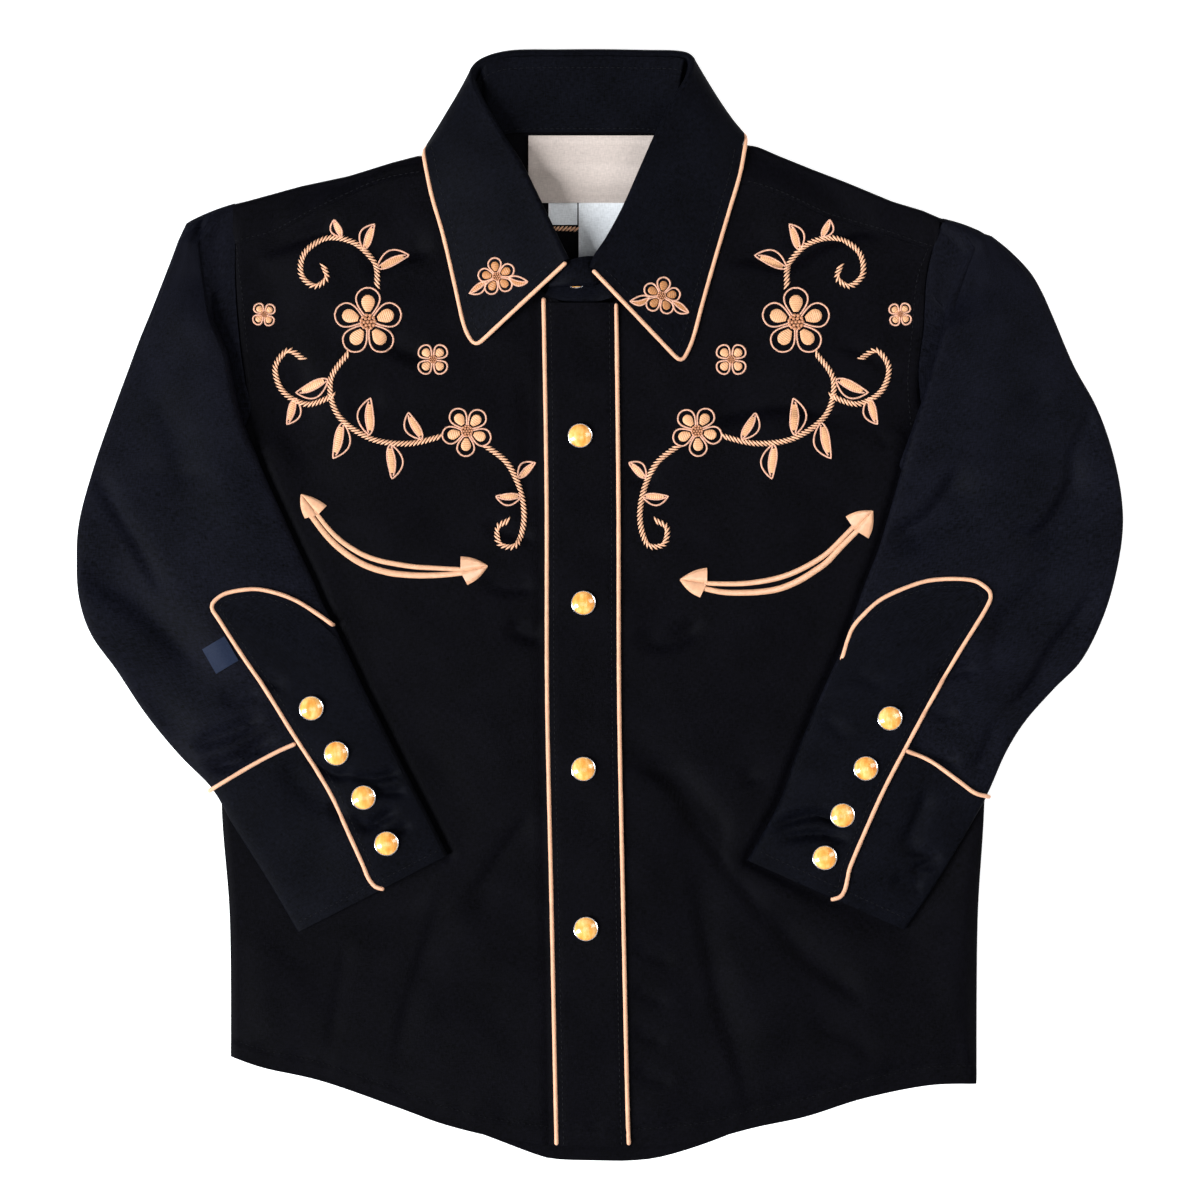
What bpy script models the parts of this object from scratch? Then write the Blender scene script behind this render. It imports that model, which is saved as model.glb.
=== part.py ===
"""Child's western shirt, fastened and laid out flat on its back.

Frame: metres, +Z up off the table, +Y towards the collar, +X towards the wearer's left.
Lengths below are in millimetres and are scaled once, where each mesh is made.
"""
import math

import bpy
import bmesh
from mathutils import Vector
from mathutils.bvhtree import BVHTree

for old in list(bpy.context.scene.objects):
    bpy.data.objects.remove(old, do_unlink=True)

# ---------------------------------------------------------------- sizes (mm)
MM = 0.001
WALL = 1.2            # poplin with its turned seams
LEAF_WALL = 1.6       # interlined collar leaf
STAND_WALL = 1.4      # interlined collar stand
BACK_Z = 0.6          # middle of the back panel's wall, its underside on the table
FRONT_Z = 2.2         # middle of the front's wall where it lies flat on the back
LOFT = 2.9            # how far the fronts stand proud of that in the open
SEAM = 0.5            # gap left between two sewn edges
PIPE_R = 1.05         # piping cord
FOLD_R = 1.5          # radius of a turned edge, at the middle of the wall
CROWN = 1.7           # soft rise along the middle of a sleeve
YOKE_SEAM_Y = 108.0   # back yoke seam
SNAP_R = 5.5          # size 16 ring snap

BLACK = (0.008, 0.008, 0.011)
SLEEVE_BLACK = (0.010, 0.010, 0.015)
PEACH = (0.83, 0.48, 0.33)
PEARL = (0.86, 0.46, 0.28)
CREAM = (0.62, 0.54, 0.49)
WHITE = (0.72, 0.73, 0.74)
NAVY = (0.05, 0.07, 0.14)

# ---------------------------------------------------------------- tables (mm)
# Side edges of the panels:  y, front right x, front left x, back right x, back left x
SIDES = (
    (-215.0, -162.6, 165.8, -162.6, 165.8),
    (-140.0, -163.0, 166.3, -163.0, 166.3),
    (-85.0, -166.8, 169.4, -166.8, 169.4),
    (0.0, -167.3, 171.0, -167.3, 171.0),
    (52.0, -167.5, 171.6, -167.5, 171.6),
    (60.0, -164.5, 166.0, -166.5, 170.5),
    (66.0, -159.0, 157.0, -164.0, 165.0),
    (74.0, -153.5, 144.0, -161.8, 160.0),
    (84.0, -150.5, 138.5, -160.8, 156.0),
    (100.0, -152.5, 139.5, -160.5, 152.0),
    (121.0, -157.3, 141.9, -160.5, 150.5),
    (144.0, -160.0, 143.0, -160.5, 150.5),
    (161.0, -160.3, 147.0, -160.5, 150.5),
    (180.0, -160.5, 150.5, -160.5, 150.5),
)
# Hem:  x, y of the front hem, y of the back hem
HEM = (
    (-166.0, -197.5, -194.0),
    (-149.0, -203.7, -200.0),
    (-122.0, -209.9, -206.5),
    (-88.0, -221.8, -219.0),
    (-70.0, -228.4, -227.0),
    (-50.0, -233.6, -234.1),
    (-32.6, -236.5, -240.7),
    (-21.0, -237.8, -244.2),
    (0.0, -238.4, -245.0),
    (14.0, -238.8, -245.0),
    (27.3, -238.0, -243.3),
    (46.2, -235.8, -237.6),
    (68.6, -230.1, -229.0),
    (91.0, -225.3, -222.0),
    (116.0, -217.4, -214.0),
    (145.0, -211.6, -208.0),
    (168.0, -211.0, -207.0),
)
# Top edge of the fronts (yoke seam, then the neck seam):  x, y
FRONT_TOP = (
    (-160.5, 160.3), (-144.5, 164.3), (-129.8, 172.0), (-114.1, 179.5), (-97.2, 186.7),
    (-79.2, 190.2), (-66.0, 190.4), (-58.0, 189.6), (-55.2, 184.5), (-49.2, 171.0),
    (-41.8, 156.3), (-31.6, 143.2), (-20.0, 134.9), (-10.0, 132.4), (2.0, 132.4),
    (12.4, 137.7), (21.2, 147.0), (28.6, 158.6), (34.4, 172.4), (38.2, 186.0), (41.5, 188.6),
    (61.6, 186.7), (72.8, 183.9), (84.0, 179.5), (98.6, 172.7), (110.0, 169.4), (124.5, 165.0),
    (140.2, 159.7), (151.0, 156.5),
)
# Shoulder line, the outermost line of the yoke's turn:  x, y
SHOULDER = (
    (-161.0, 177.2), (-154.4, 178.9), (-132.0, 185.1), (-110.9, 189.6), (-91.7, 195.6),
    (-80.0, 198.6), (-76.0, 198.2), (-66.0, 197.6), (-57.0, 197.2),
    (41.0, 201.6), (50.0, 202.8), (60.0, 203.6), (66.0, 203.2), (70.0, 202.4), (77.9, 198.9),
    (93.0, 192.8), (108.2, 187.0), (128.9, 178.4), (142.0, 174.5), (151.0, 170.6),
)
# Back neck edge of the yoke, under the collar stand:  x, y
NECK_BACK = (
    (-57.0, 196.0), (-52.0, 199.0), (-47.0, 203.8), (-39.0, 208.2), (-20.0, 209.4),
    (18.0, 209.4), (28.0, 208.4), (34.0, 205.4), (41.0, 200.0),
)
# Sleeve sections from shoulder to cuff hem:  outer x, outer y, inner x, inner y, seam inset
RIGHT_ARM = (
    (-186.1, 160.6, -179.5, 158.0, 0.0),
    (-189.8, 150.6, -179.5, 149.0, 0.0),
    (-193.6, 140.8, -174.5, 139.0, 0.0),
    (-198.4, 128.6, -169.7, 126.0, 0.0),
    (-203.3, 116.6, -163.7, 111.3, 0.0),
    (-209.0, 101.2, -160.8, 97.5, 0.0),
    (-214.7, 85.8, -157.2, 82.0, 0.0),
    (-223.1, 61.6, -148.7, 60.3, 20.0),
    (-229.7, 37.4, -139.0, 38.7, 33.0),
    (-230.9, 18.9, -132.0, 23.3, 30.0),
    (-229.7, 2.2, -126.7, 12.3, 26.0),
    (-224.4, -13.2, -121.9, 1.3, 22.0),
    (-213.4, -28.6, -115.3, -11.9, 19.0),
    (-200.2, -48.4, -109.1, -25.1, 16.0),
    (-185.7, -66.0, -104.3, -35.6, 14.0),
    (-170.7, -81.0, -100.3, -43.6, 13.0),
    (-161.5, -96.8, -92.0, -60.3, 13.0),
    (-151.8, -112.2, -83.6, -77.0, 13.0),
    (-142.1, -128.0, -75.2, -93.3, 13.0),
    (-132.9, -143.9, -66.9, -110.0, 13.0),
)
LEFT_ARM = (
    (172.9, 162.6, 164.0, 156.6, 0.0),
    (181.0, 156.0, 159.5, 146.4, 0.0),
    (189.6, 147.0, 155.3, 135.3, 0.0),
    (195.0, 138.0, 151.8, 125.0, 0.0),
    (199.8, 127.2, 148.7, 114.4, 0.0),
    (209.0, 105.6, 143.0, 94.6, 0.0),
    (218.7, 88.0, 137.3, 77.5, 10.0),
    (225.3, 70.4, 132.4, 59.2, 30.0),
    (229.7, 50.6, 127.2, 40.9, 44.0),
    (230.6, 33.0, 122.3, 24.6, 40.0),
    (227.5, 13.2, 117.0, 11.0, 34.0),
    (221.8, -5.7, 111.3, -4.8, 28.0),
    (212.5, -24.2, 106.9, -18.0, 22.0),
    (200.2, -37.0, 102.9, -26.5, 18.0),
    (187.4, -51.5, 99.6, -33.6, 15.0),
    (178.6, -65.5, 97.4, -38.6, 13.0),
    (170.3, -84.0, 95.5, -43.1, 13.0),
    (159.3, -103.4, 86.7, -64.7, 13.0),
    (147.4, -123.2, 78.3, -87.8, 13.0),
    (134.2, -143.0, 64.7, -112.2, 13.0),
)
RIGHT_CUFF_ROW = 15     # the section on the cuff seam
LEFT_CUFF_ROW = 16
# Armhole end of a sleeve section:  front seam x, y, depth of the tuck, back seam x, y
RIGHT_CAP = (
    (-160.9, 168.0, -5.0, -161.3, 169.0),
    (-160.8, 158.0, -3.0, -161.3, 160.0),
    (-160.6, 146.0, 0.5, -161.3, 149.0),
    (-159.4, 131.0, 4.0, -161.3, 135.0),
    (-156.4, 114.0, 8.0, -161.3, 119.0),
    (-153.2, 99.5, 11.0, -161.3, 101.0),
    (-153.8, 83.0, 13.0, -161.7, 83.0),
    (-169.3, 60.6, 21.0, -168.9, 60.6),
)
LEFT_CAP = (
    (149.6, 166.0, -8.0, 151.3, 167.0),
    (146.0, 154.0, -5.0, 151.3, 157.0),
    (143.9, 143.0, -1.0, 151.3, 146.0),
    (143.2, 132.0, 3.0, 151.3, 135.0),
    (142.6, 121.0, 8.0, 151.5, 122.0),
    (140.5, 99.0, 14.0, 153.5, 100.0),
    (146.4, 79.0, 20.0, 158.5, 81.0),
    (173.4, 60.4, 41.0, 172.9, 60.4),
)
# Collar rings, right front end to left front end:
#   roll x, y, z      edge x, y, z (0 = rests on the front)      neck x, y, z
COLLAR = (
    (-14.5, 150.9, 17.8, -54.6, 115.3, 0.0, -13.0, 134.0, 7.2),
    (-17.6, 157.5, 17.2, -60.0, 123.2, 0.0, -22.5, 137.2, 7.0),
    (-22.9, 168.5, 16.2, -64.3, 142.1, 0.0, -30.8, 144.6, 7.2),
    (-29.0, 181.3, 15.0, -68.6, 162.8, 0.0, -40.5, 157.4, 7.2),
    (-35.6, 194.5, 13.8, -72.3, 180.0, 0.0, -47.7, 171.8, 7.2),
    (-42.7, 205.5, 12.6, -75.4, 193.0, 0.0, -52.7, 185.7, 7.8),
    (-49.9, 217.8, 11.2, -76.4, 198.6, 6.8, -54.4, 195.8, 8.2),
    (-54.2, 226.6, 9.4, -76.2, 201.2, 4.9, -53.9, 199.5, 7.2),
    (-56.0, 233.2, 6.2, -74.6, 203.6, 2.2, -52.2, 203.0, 5.9),
    (-52.4, 239.6, 3.2, -64.0, 206.6, 0.8, -47.0, 205.8, 4.9),
    (-39.6, 243.4, 2.5, -44.0, 203.6, 0.8, -37.4, 207.7, 4.8),
    (-17.6, 243.8, 2.5, -15.4, 199.8, 0.8, -17.6, 208.2, 4.8),
    (0.0, 243.9, 2.5, 2.2, 199.8, 0.8, 0.0, 208.2, 4.8),
    (19.8, 243.6, 2.5, 22.0, 201.6, 0.8, 17.6, 208.2, 4.8),
    (34.6, 243.2, 2.7, 43.0, 207.4, 0.8, 28.6, 206.8, 4.8),
    (39.8, 240.8, 4.2, 57.5, 209.8, 0.9, 33.2, 203.8, 5.9),
    (39.4, 234.4, 7.6, 62.2, 208.4, 3.4, 35.6, 199.8, 7.2),
    (36.2, 227.6, 9.8, 63.8, 206.0, 5.8, 36.6, 195.0, 8.2),
    (31.6, 219.6, 11.4, 63.8, 202.2, 7.0, 36.4, 188.5, 7.9),
    (26.0, 208.6, 12.6, 61.6, 189.5, 0.0, 33.8, 174.9, 7.3),
    (18.6, 191.8, 13.8, 57.4, 173.2, 0.0, 28.0, 160.6, 7.2),
    (10.6, 173.6, 15.0, 51.6, 153.2, 0.0, 20.4, 148.6, 7.2),
    (3.4, 160.2, 16.4, 46.2, 133.2, 0.0, 11.6, 139.6, 7.0),
    (-1.4, 153.0, 17.6, 41.4, 117.2, 0.0, 4.0, 134.8, 7.2),
    (-3.6, 147.4, 18.0, 35.6, 108.2, 0.0, -1.0, 133.8, 7.2),
)
# Lapped end of the stand over the middle front:  top x, y, z, neck x, y, z
STAND_LAP = (
    (-3.6, 151.0, 12.6, -1.6, 133.8, 7.2),
    (-9.0, 151.4, 13.8, -9.6, 133.8, 7.3),
    (-14.6, 149.2, 12.8, -17.6, 134.6, 7.2),
    (-19.6, 145.6, 11.2, -24.0, 136.6, 7.0),
)
# Creases of the body:  height, half width, then the run of points
CREASES = (
    (-1.5, 8.0, ((-25.5, -89.8), (-50.2, -114.4), (-66.0, -141.2), (-86.2, -177.3), (-92.0, -204.0))),
    (1.3, 8.0, ((-36.0, -84.0), (-62.0, -110.0), (-80.0, -140.0), (-100.0, -176.0), (-106.0, -202.0))),
    (-1.0, 6.0, ((12.8, -65.1), (30.4, -71.7), (46.2, -94.2))),
    (1.6, 8.0, ((32.6, -87.6), (50.6, -114.4), (82.3, -152.7), (113.5, -177.3))),
    (-1.5, 9.0, ((39.6, -132.4), (46.2, -154.9), (57.6, -186.6), (68.6, -224.4))),
    (1.0, 8.0, ((26.0, -140.0), (36.0, -186.0), (46.0, -222.0))),
    (0.9, 6.0, ((102.5, -181.7), (122.8, -197.6))),
    (1.2, 9.0, ((-146.0, 154.0), (-116.6, 172.0), (-80.0, 186.0))),
    (1.2, 8.0, ((61.0, 150.0), (84.0, 154.0), (128.0, 162.0))),
    (-1.0, 7.0, ((-36.0, -6.0), (-50.0, -14.0), (-60.0, -30.0))),
    (-0.9, 7.0, ((14.0, -20.0), (34.0, -14.0), (52.0, -24.0))),
)
# Front placket edges:  y, right edge x, left edge x (centres of the piping)
PLACKET = (
    (133.2, -24.8, 7.4), (112.0, -24.6, 7.5), (46.0, -24.0, 7.9), (-42.0, -23.5, 8.4),
    (-130.0, -21.6, 10.0), (-218.0, -19.8, 11.9), (-238.0, -19.4, 12.6),
)
# Sleeve placket and cuff edge bands: the piped edge from the top of the arch to the cuff hem
RIGHT_BAND = (
    (-119.0, -7.6), (-124.3, -3.8), (-133.3, 1.8), (-142.3, 5.3), (-152.2, 7.0), (-163.7, 5.3),
    (-169.2, 1.8), (-170.3, -1.6), (-166.9, -7.0), (-158.0, -20.7), (-146.7, -37.4),
    (-135.5, -55.4), (-125.4, -71.1), (-117.5, -84.5), (-110.9, -99.0), (-104.1, -114.0),
    (-98.6, -126.6),
)
LEFT_BAND = (
    (106.9, -22.0), (110.4, -11.4), (115.3, -4.8), (124.5, 3.1), (140.2, 9.7), (151.4, 11.4),
    (162.8, 11.0), (168.1, 8.6), (171.4, 4.8), (169.4, -1.6), (157.1, -21.6), (144.8, -43.1),
    (134.6, -62.0), (124.5, -81.4), (116.6, -99.0), (110.0, -116.2), (104.2, -129.4),
)
# Piped cuff seams, from the band to the outer edge
RIGHT_CUFF_SEAM = ((-134.4, -61.2), (-141.2, -64.2), (-152.2, -70.0), (-164.7, -77.4))
LEFT_CUFF_SEAM = ((136.4, -64.6), (144.8, -68.9), (154.9, -75.7), (165.2, -82.6))
# Pocket openings: name, run of the welt
WELTS = (
    ("welt_right_upper", ((-122.2, 38.8), (-113.1, 28.6), (-99.5, 20.8), (-82.7, 17.3), (-62.6, 16.5))),
    ("welt_right_lower", ((-125.8, 36.6), (-116.8, 23.6), (-104.7, 15.8), (-89.4, 12.0), (-61.6, 12.6))),
    ("welt_left_upper", ((48.4, 11.0), (64.5, 10.0), (81.4, 14.4), (96.5, 22.6), (106.8, 32.6))),
    ("welt_left_lower", ((47.2, 6.9), (67.8, 5.5), (88.0, 9.8), (103.3, 19.2), (111.9, 29.6))),
)
# Arrowhead stays at the pocket ends: name, point x, y, then the two base corners x, y
ARROWHEADS = (
    ("arrowhead_right_outer", -131.6, 48.8, -120.3, 43.6, -129.8, 38.1),
    ("arrowhead_right_inner", -49.3, 17.2, -58.3, 8.9, -61.3, 21.3),
    ("arrowhead_left_inner", 35.1, 11.2, 47.1, 16.3, 44.0, 3.4),
    ("arrowhead_left_outer", 120.1, 41.5, 118.1, 29.3, 108.2, 38.9),
)
# Labels: name, left x, right x, top y, bottom y, wall, colour
LABELS = (
    ("label_main", -31.5, 24.0, 206.6, 177.2, 0.7, CREAM),
    ("label_size", -22.7, -10.0, 176.7, 167.6, 0.5, WHITE),
    ("label_care", -9.4, 13.5, 176.7, 147.0, 0.5, WHITE),
)
TAB_LABEL = ((-174.8, -19.5), (-164.1, -13.2), (-157.9, -23.9), (-168.6, -30.2))
FRONT_SNAPS = ((-8.8, 74.4), (-7.3, 0.9), (-7.3, -72.0), (-6.2, -142.3))
RIGHT_CUFF_SNAPS = ((-126.7, -45.3), (-115.7, -65.1), (-103.8, -84.5), (-93.7, -104.7))
LEFT_CUFF_SNAPS = ((127.2, -49.7), (116.6, -71.7), (106.5, -92.4), (98.6, -110.9))


# ---------------------------------------------------------------- small maths
def look_up(table, key, column):
    """Straight-line reading of one column of a table sorted by its first column."""
    rows = table if table[0][0] < table[-1][0] else table[::-1]
    if key <= rows[0][0]:
        return rows[0][column]
    for low, high in zip(rows, rows[1:]):
        if key <= high[0]:
            part = (key - low[0]) / (high[0] - low[0])
            return low[column] + part * (high[column] - low[column])
    return rows[-1][column]


def ease(value):
    value = min(1.0, max(0.0, value))
    return value * value * (3.0 - 2.0 * value)


def spline(rows, place):
    """Catmull-Rom value at a real-numbered place along rows of equal length."""
    last = len(rows) - 1
    low = min(max(int(math.floor(place)), 0), last - 1)
    part = place - low
    four = [rows[min(max(low + step, 0), last)] for step in (-1, 0, 1, 2)]
    out = []
    for a, b, c, d in zip(*four):
        out.append(0.5 * (2 * b + (c - a) * part + (2 * a - 5 * b + 4 * c - d) * part ** 2
                          + (3 * b - a - 3 * c + d) * part ** 3))
    return out


def even_run(points, count):
    """The same run of points at count places of equal spacing, smoothed."""
    fine = [spline(points, i * (len(points) - 1) / 200.0) for i in range(201)]
    length = [0.0]
    for a, b in zip(fine, fine[1:]):
        length.append(length[-1] + math.dist(a, b))
    out, at = [], 0
    for i in range(count):
        want = length[-1] * i / (count - 1)
        while at < 199 and length[at + 1] < want:
            at += 1
        part = (want - length[at]) / max(1e-9, length[at + 1] - length[at])
        out.append([p + (q - p) * min(1.0, part) for p, q in zip(fine[at], fine[at + 1])])
    return out


def near_line(x, y, line):
    """Distance to a run of points, and how far along it the nearest place is (0 to 1)."""
    best, along, total = 1e9, 0.0, len(line) - 1
    for i, (a, b) in enumerate(zip(line, line[1:])):
        dx, dy = b[0] - a[0], b[1] - a[1]
        part = ((x - a[0]) * dx + (y - a[1]) * dy) / (dx * dx + dy * dy)
        part = min(1.0, max(0.0, part))
        away = math.hypot(x - a[0] - part * dx, y - a[1] - part * dy)
        if away < best:
            best, along = away, (i + part) / total
    return best, along


def inside(x, y, ring):
    hit = False
    for a, b in zip(ring, ring[1:] + ring[:1]):
        if (a[1] > y) != (b[1] > y) and x < a[0] + (y - a[1]) * (b[0] - a[0]) / (b[1] - a[1]):
            hit = not hit
    return hit


SLEEVE_RINGS = [
    [row[0:2] for row in arm] + [row[2:4] for row in reversed(arm)] for arm in (RIGHT_ARM, LEFT_ARM)
]


def front_height(x, y):
    """Middle of the fronts' wall: flat under the sleeves and at the edges, lofted between."""
    clear = min(0.0 if inside(x, y, ring) else max(0.0, near_line(x, y, ring + ring[:1])[0] - 9.0)
                for ring in SLEEVE_RINGS)
    edge = min(x - look_up(SIDES, y, 1), look_up(SIDES, y, 2) - x, y - look_up(HEM, x, 1))
    height = LOFT * ease(clear / 42.0) * ease(edge / 45.0)
    for rise, width, line in CREASES:
        away, along = near_line(x, y, line)
        height += (rise * math.exp(-(away / width) ** 2) * ease(along * 5.0 + 0.2)
                   * ease((1.0 - along) * 5.0 + 0.2) * ease(clear / 16.0) * ease(edge / 16.0))
    return FRONT_Z + max(0.0, height)


# ---------------------------------------------------------------- mesh makers
def material(name, color, rough, metal=0.0):
    mat = bpy.data.materials.new(name)
    mat.use_nodes = True
    shader = mat.node_tree.nodes["Principled BSDF"]
    shader.inputs["Base Color"].default_value = (*color, 1.0)
    shader.inputs["Roughness"].default_value = rough
    shader.inputs["Metallic"].default_value = metal
    mat.diffuse_color = (*color, 1.0)
    return mat


def add_object(name, points, faces, color, rough=0.9, metal=0.0):
    mesh = bpy.data.meshes.new(name)
    mesh.from_pydata([[c * MM for c in p] for p in points], [], faces)
    mesh.update()
    obj = bpy.data.objects.new(name, mesh)
    bpy.context.scene.collection.objects.link(obj)
    mesh.materials.append(material(name, color, rough, metal))
    return obj


def thicken(obj, wall):
    mod = obj.modifiers.new("wall", "SOLIDIFY")
    mod.thickness = wall * MM
    mod.offset = 0.0
    mod.use_even_offset = False
    mod.use_rim = True
    return obj


def grid_faces(rows, columns, start=0):
    return [(start + r * columns + c, start + r * columns + c + 1,
             start + (r + 1) * columns + c + 1, start + (r + 1) * columns + c)
            for r in range(rows - 1) for c in range(columns - 1)]


def cloth(name, grid, color, wall=WALL):
    """A wall of cloth on a grid of middle points (rows of columns)."""
    points = [p for row in grid for p in row]
    return thicken(add_object(name, points, grid_faces(len(grid), len(grid[0])), color), wall)


def tree_of(*objects):
    """Search trees of finished walls, for laying other pieces on them."""
    deps = bpy.context.evaluated_depsgraph_get()
    deps.update()
    return [BVHTree.FromObject(obj, deps) for obj in objects]


def drop(trees, x, y):
    """Highest point and upward normal of the walls at a place, in millimetres."""
    best, normal = -1.0, Vector((0, 0, 1))
    for tree in trees:
        where, facing, _, _ = tree.ray_cast(Vector((x * MM, y * MM, 0.2)), Vector((0, 0, -1)))
        if where is not None and where.z / MM > best:
            best, normal = where.z / MM, facing
    return max(best, 0.0), normal


def lay(trees, x, y, lift):
    """A point held lift above whatever lies within one millimetre and a half of it."""
    high = max(drop(trees, x + dx, y + dy)[0]
               for dx, dy in ((0, 0), (1.5, 0), (-1.5, 0), (0, 1.5), (0, -1.5)))
    return (x, y, high + lift)


def cord(name, run, color, radius=PIPE_R, sides=6):
    """A round cord along a run of 3-D points, with capped ends."""
    points, faces = [], []
    for i, here in enumerate(run):
        ahead = Vector(run[min(i + 1, len(run) - 1)]) - Vector(run[max(i - 1, 0)])
        ahead.normalize()
        side = ahead.cross(Vector((0, 0, 1)))
        side = side.normalized() if side.length > 1e-6 else Vector((1, 0, 0))
        up = side.cross(ahead)
        for k in range(sides):
            turn = 2 * math.pi * (k + 0.5) / sides
            points.append(Vector(here) + radius * (math.cos(turn) * side + math.sin(turn) * up))
    for i in range(len(run) - 1):
        for k in range(sides):
            a, b = i * sides + k, i * sides + (k + 1) % sides
            faces.append((a, a + sides, b + sides, b))
    faces.append(tuple(range(sides)))
    faces.append(tuple(range((len(run) - 1) * sides, len(run) * sides))[::-1])
    obj = add_object(name, points, faces, color, 0.6)
    tidy_normals(obj)
    return obj


def tidy_normals(obj):
    mesh = bmesh.new()
    mesh.from_mesh(obj.data)
    bmesh.ops.recalc_face_normals(mesh, faces=mesh.faces)
    mesh.to_mesh(obj.data)
    mesh.free()


def snap(name, where, normal):
    """Ring snap: a rolled metal rim round a pearl cap, spun about its own axis."""
    profile = ((0.0, 0.0), (SNAP_R, 0.0), (SNAP_R, 1.0), (4.8, 1.5), (2.8, 2.1), (0.0, 2.4))
    mesh = bmesh.new()
    ring = [mesh.verts.new((r * MM, 0.0, z * MM)) for r, z in profile]
    edges = [mesh.edges.new(pair) for pair in zip(ring, ring[1:])]
    bmesh.ops.spin(mesh, geom=ring + edges, cent=(0, 0, 0), axis=(0, 0, 1), dvec=(0, 0, 0),
                   angle=2 * math.pi, steps=12, use_duplicate=False)
    bmesh.ops.remove_doubles(mesh, verts=mesh.verts, dist=0.02 * MM)
    bmesh.ops.recalc_face_normals(mesh, faces=mesh.faces)
    data = bpy.data.meshes.new(name)
    mesh.to_mesh(data)
    mesh.free()
    obj = bpy.data.objects.new(name, data)
    bpy.context.scene.collection.objects.link(obj)
    obj.location = [c * MM for c in where]
    obj.rotation_mode = "QUATERNION"
    obj.rotation_quaternion = Vector((0, 0, 1)).rotation_difference(Vector(normal).normalized())
    data.materials.append(material(name, PEARL, 0.25))
    return obj


# ---------------------------------------------------------------- back panel
def evenly(start, end, steps):
    return [start + (end - start) * i / steps for i in range(steps)]


def panel(bottom, top, right, left, ups, acrosses, height):
    """Grid between a hem line, a top line and two side lines, each a function."""
    grid = []
    for up in ups:
        line = []
        for across in acrosses:
            y = 0.0
            for _ in range(6):
                x = right(y) + across * (left(y) - right(y))
                y = bottom(x) + up * (top(x) - bottom(x))
            line.append((x, y, height(x, y)))
        grid.append(line)
    return grid


back = cloth("back_body", panel(
    lambda x: look_up(HEM, x, 2), lambda x: YOKE_SEAM_Y - SEAM,
    lambda y: look_up(SIDES, y, 3), lambda y: look_up(SIDES, y, 4),
    evenly(0, 1, 11) + [1.0], evenly(0, 1, 12) + [1.0], lambda x, y: BACK_Z), BLACK)


# ---------------------------------------------------------------- fronts
def placket_right(y):
    return look_up(PLACKET, y, 1)


def placket_left(y):
    return look_up(PLACKET, y, 2)


# closer rows at the foot of the armholes, closer columns round the neck
UPS = evenly(0, 0.66, 11) + evenly(0.66, 0.82, 6) + evenly(0.82, 1.0, 4) + [1.0]
RIGHT_ACROSS = evenly(0, 0.55, 6) + [0.55, 0.605, 0.637, 0.66, 0.70, 0.75, 0.81, 0.88, 1.0]
LEFT_ACROSS = [0.0, 0.07, 0.13, 0.18, 0.225, 0.27] + evenly(0.36, 1.0, 7) + [1.0]

front_right = cloth("front_right", panel(
    lambda x: look_up(HEM, x, 1), lambda x: look_up(FRONT_TOP, x, 1) - SEAM,
    lambda y: look_up(SIDES, y, 1), lambda y: placket_left(y) - 6.0, UPS, RIGHT_ACROSS, front_height), BLACK)
front_left = cloth("front_left", panel(
    lambda x: look_up(HEM, x, 1), lambda x: look_up(FRONT_TOP, x, 1) - SEAM,
    lambda y: placket_left(y) - 5.4, lambda y: look_up(SIDES, y, 2), UPS, LEFT_ACROSS, front_height), BLACK)


# ---------------------------------------------------------------- yoke
def yoke():
    """Back yoke that turns over both shoulders and ends at the two front seams."""
    right = [-160.3, -145.6, -130.8, -116.0, -101.0, -86.2, -71.3, -62.4, -57.3]
    neck = [-51.0, -45.0, -37.0, -14.0, 10.0, 26.0, 32.0, 36.5]
    left = [41.0, 46.0, 54.4, 69.2, 82.7, 96.3, 109.8, 123.4, 136.9, 150.3]
    columns = right + neck + left
    fold = range(9), range(17, 27)
    points, faces, index = [], [], {}
    backs = (0.0, 0.4, 0.7, 0.78, 0.84, 0.9, 1.0)
    turn = (45.0, 90.0, 135.0, 180.0)
    flap = (0.5, 1.0)

    def back_z(x, y):
        lift = ease((y - 184.5) / 10.0) * ease((x + 58.0) / 6.0) * ease((42.0 - x) / 6.0)
        return BACK_Z + 2.6 * lift

    for c, x in enumerate(columns):
        folded = c in fold[0] or c in fold[1]
        top = look_up(SHOULDER, x, 1) - 0.6 - FOLD_R if folded else look_up(NECK_BACK, x, 1)
        for r, part in enumerate(backs):
            y = YOKE_SEAM_Y + part * (top - YOKE_SEAM_Y)
            index[c, r] = len(points)
            points.append((x, y, back_z(x, y)))
        if not folded:
            continue
        row = len(backs)
        for angle in turn:
            a = math.radians(angle)
            index[c, row] = len(points)
            points.append((x, top + FOLD_R * math.sin(a), BACK_Z + FOLD_R * (1 - math.cos(a))))
            row += 1
        seam = look_up(FRONT_TOP, x, 1)
        for _ in range(4):
            end = min(max(x, look_up(SIDES, seam, 1) + 0.1), look_up(SIDES, seam, 2) - 0.1)
            seam = look_up(FRONT_TOP, end, 1) + 0.1
        low = front_height(end, seam)
        for part in flap:
            y = top + part * (seam - top)
            index[c, row] = len(points)
            held = min(max(x, look_up(SIDES, y, 1) + 0.1), look_up(SIDES, y, 2) - 0.1)
            points.append((held, y, BACK_Z + 2 * FOLD_R + ease(part) * (low - BACK_Z - 2 * FOLD_R)))
            row += 1
    rows = len(backs) + len(turn) + len(flap)
    for c in range(len(columns) - 1):
        for r in range(rows - 1):
            corners = [(c, r), (c + 1, r), (c + 1, r + 1), (c, r + 1)]
            if all(k in index for k in corners):
                faces.append([index[k] for k in corners])
    return thicken(add_object("yoke", points, faces, BLACK), WALL)


yoke_obj = yoke()
body_trees = tree_of(yoke_obj, front_right, front_left)


# ---------------------------------------------------------------- sleeves and cuffs
MIDDLE = 13             # column on the sleeve's outer turn; 0 and 26 lie on the seam


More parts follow.
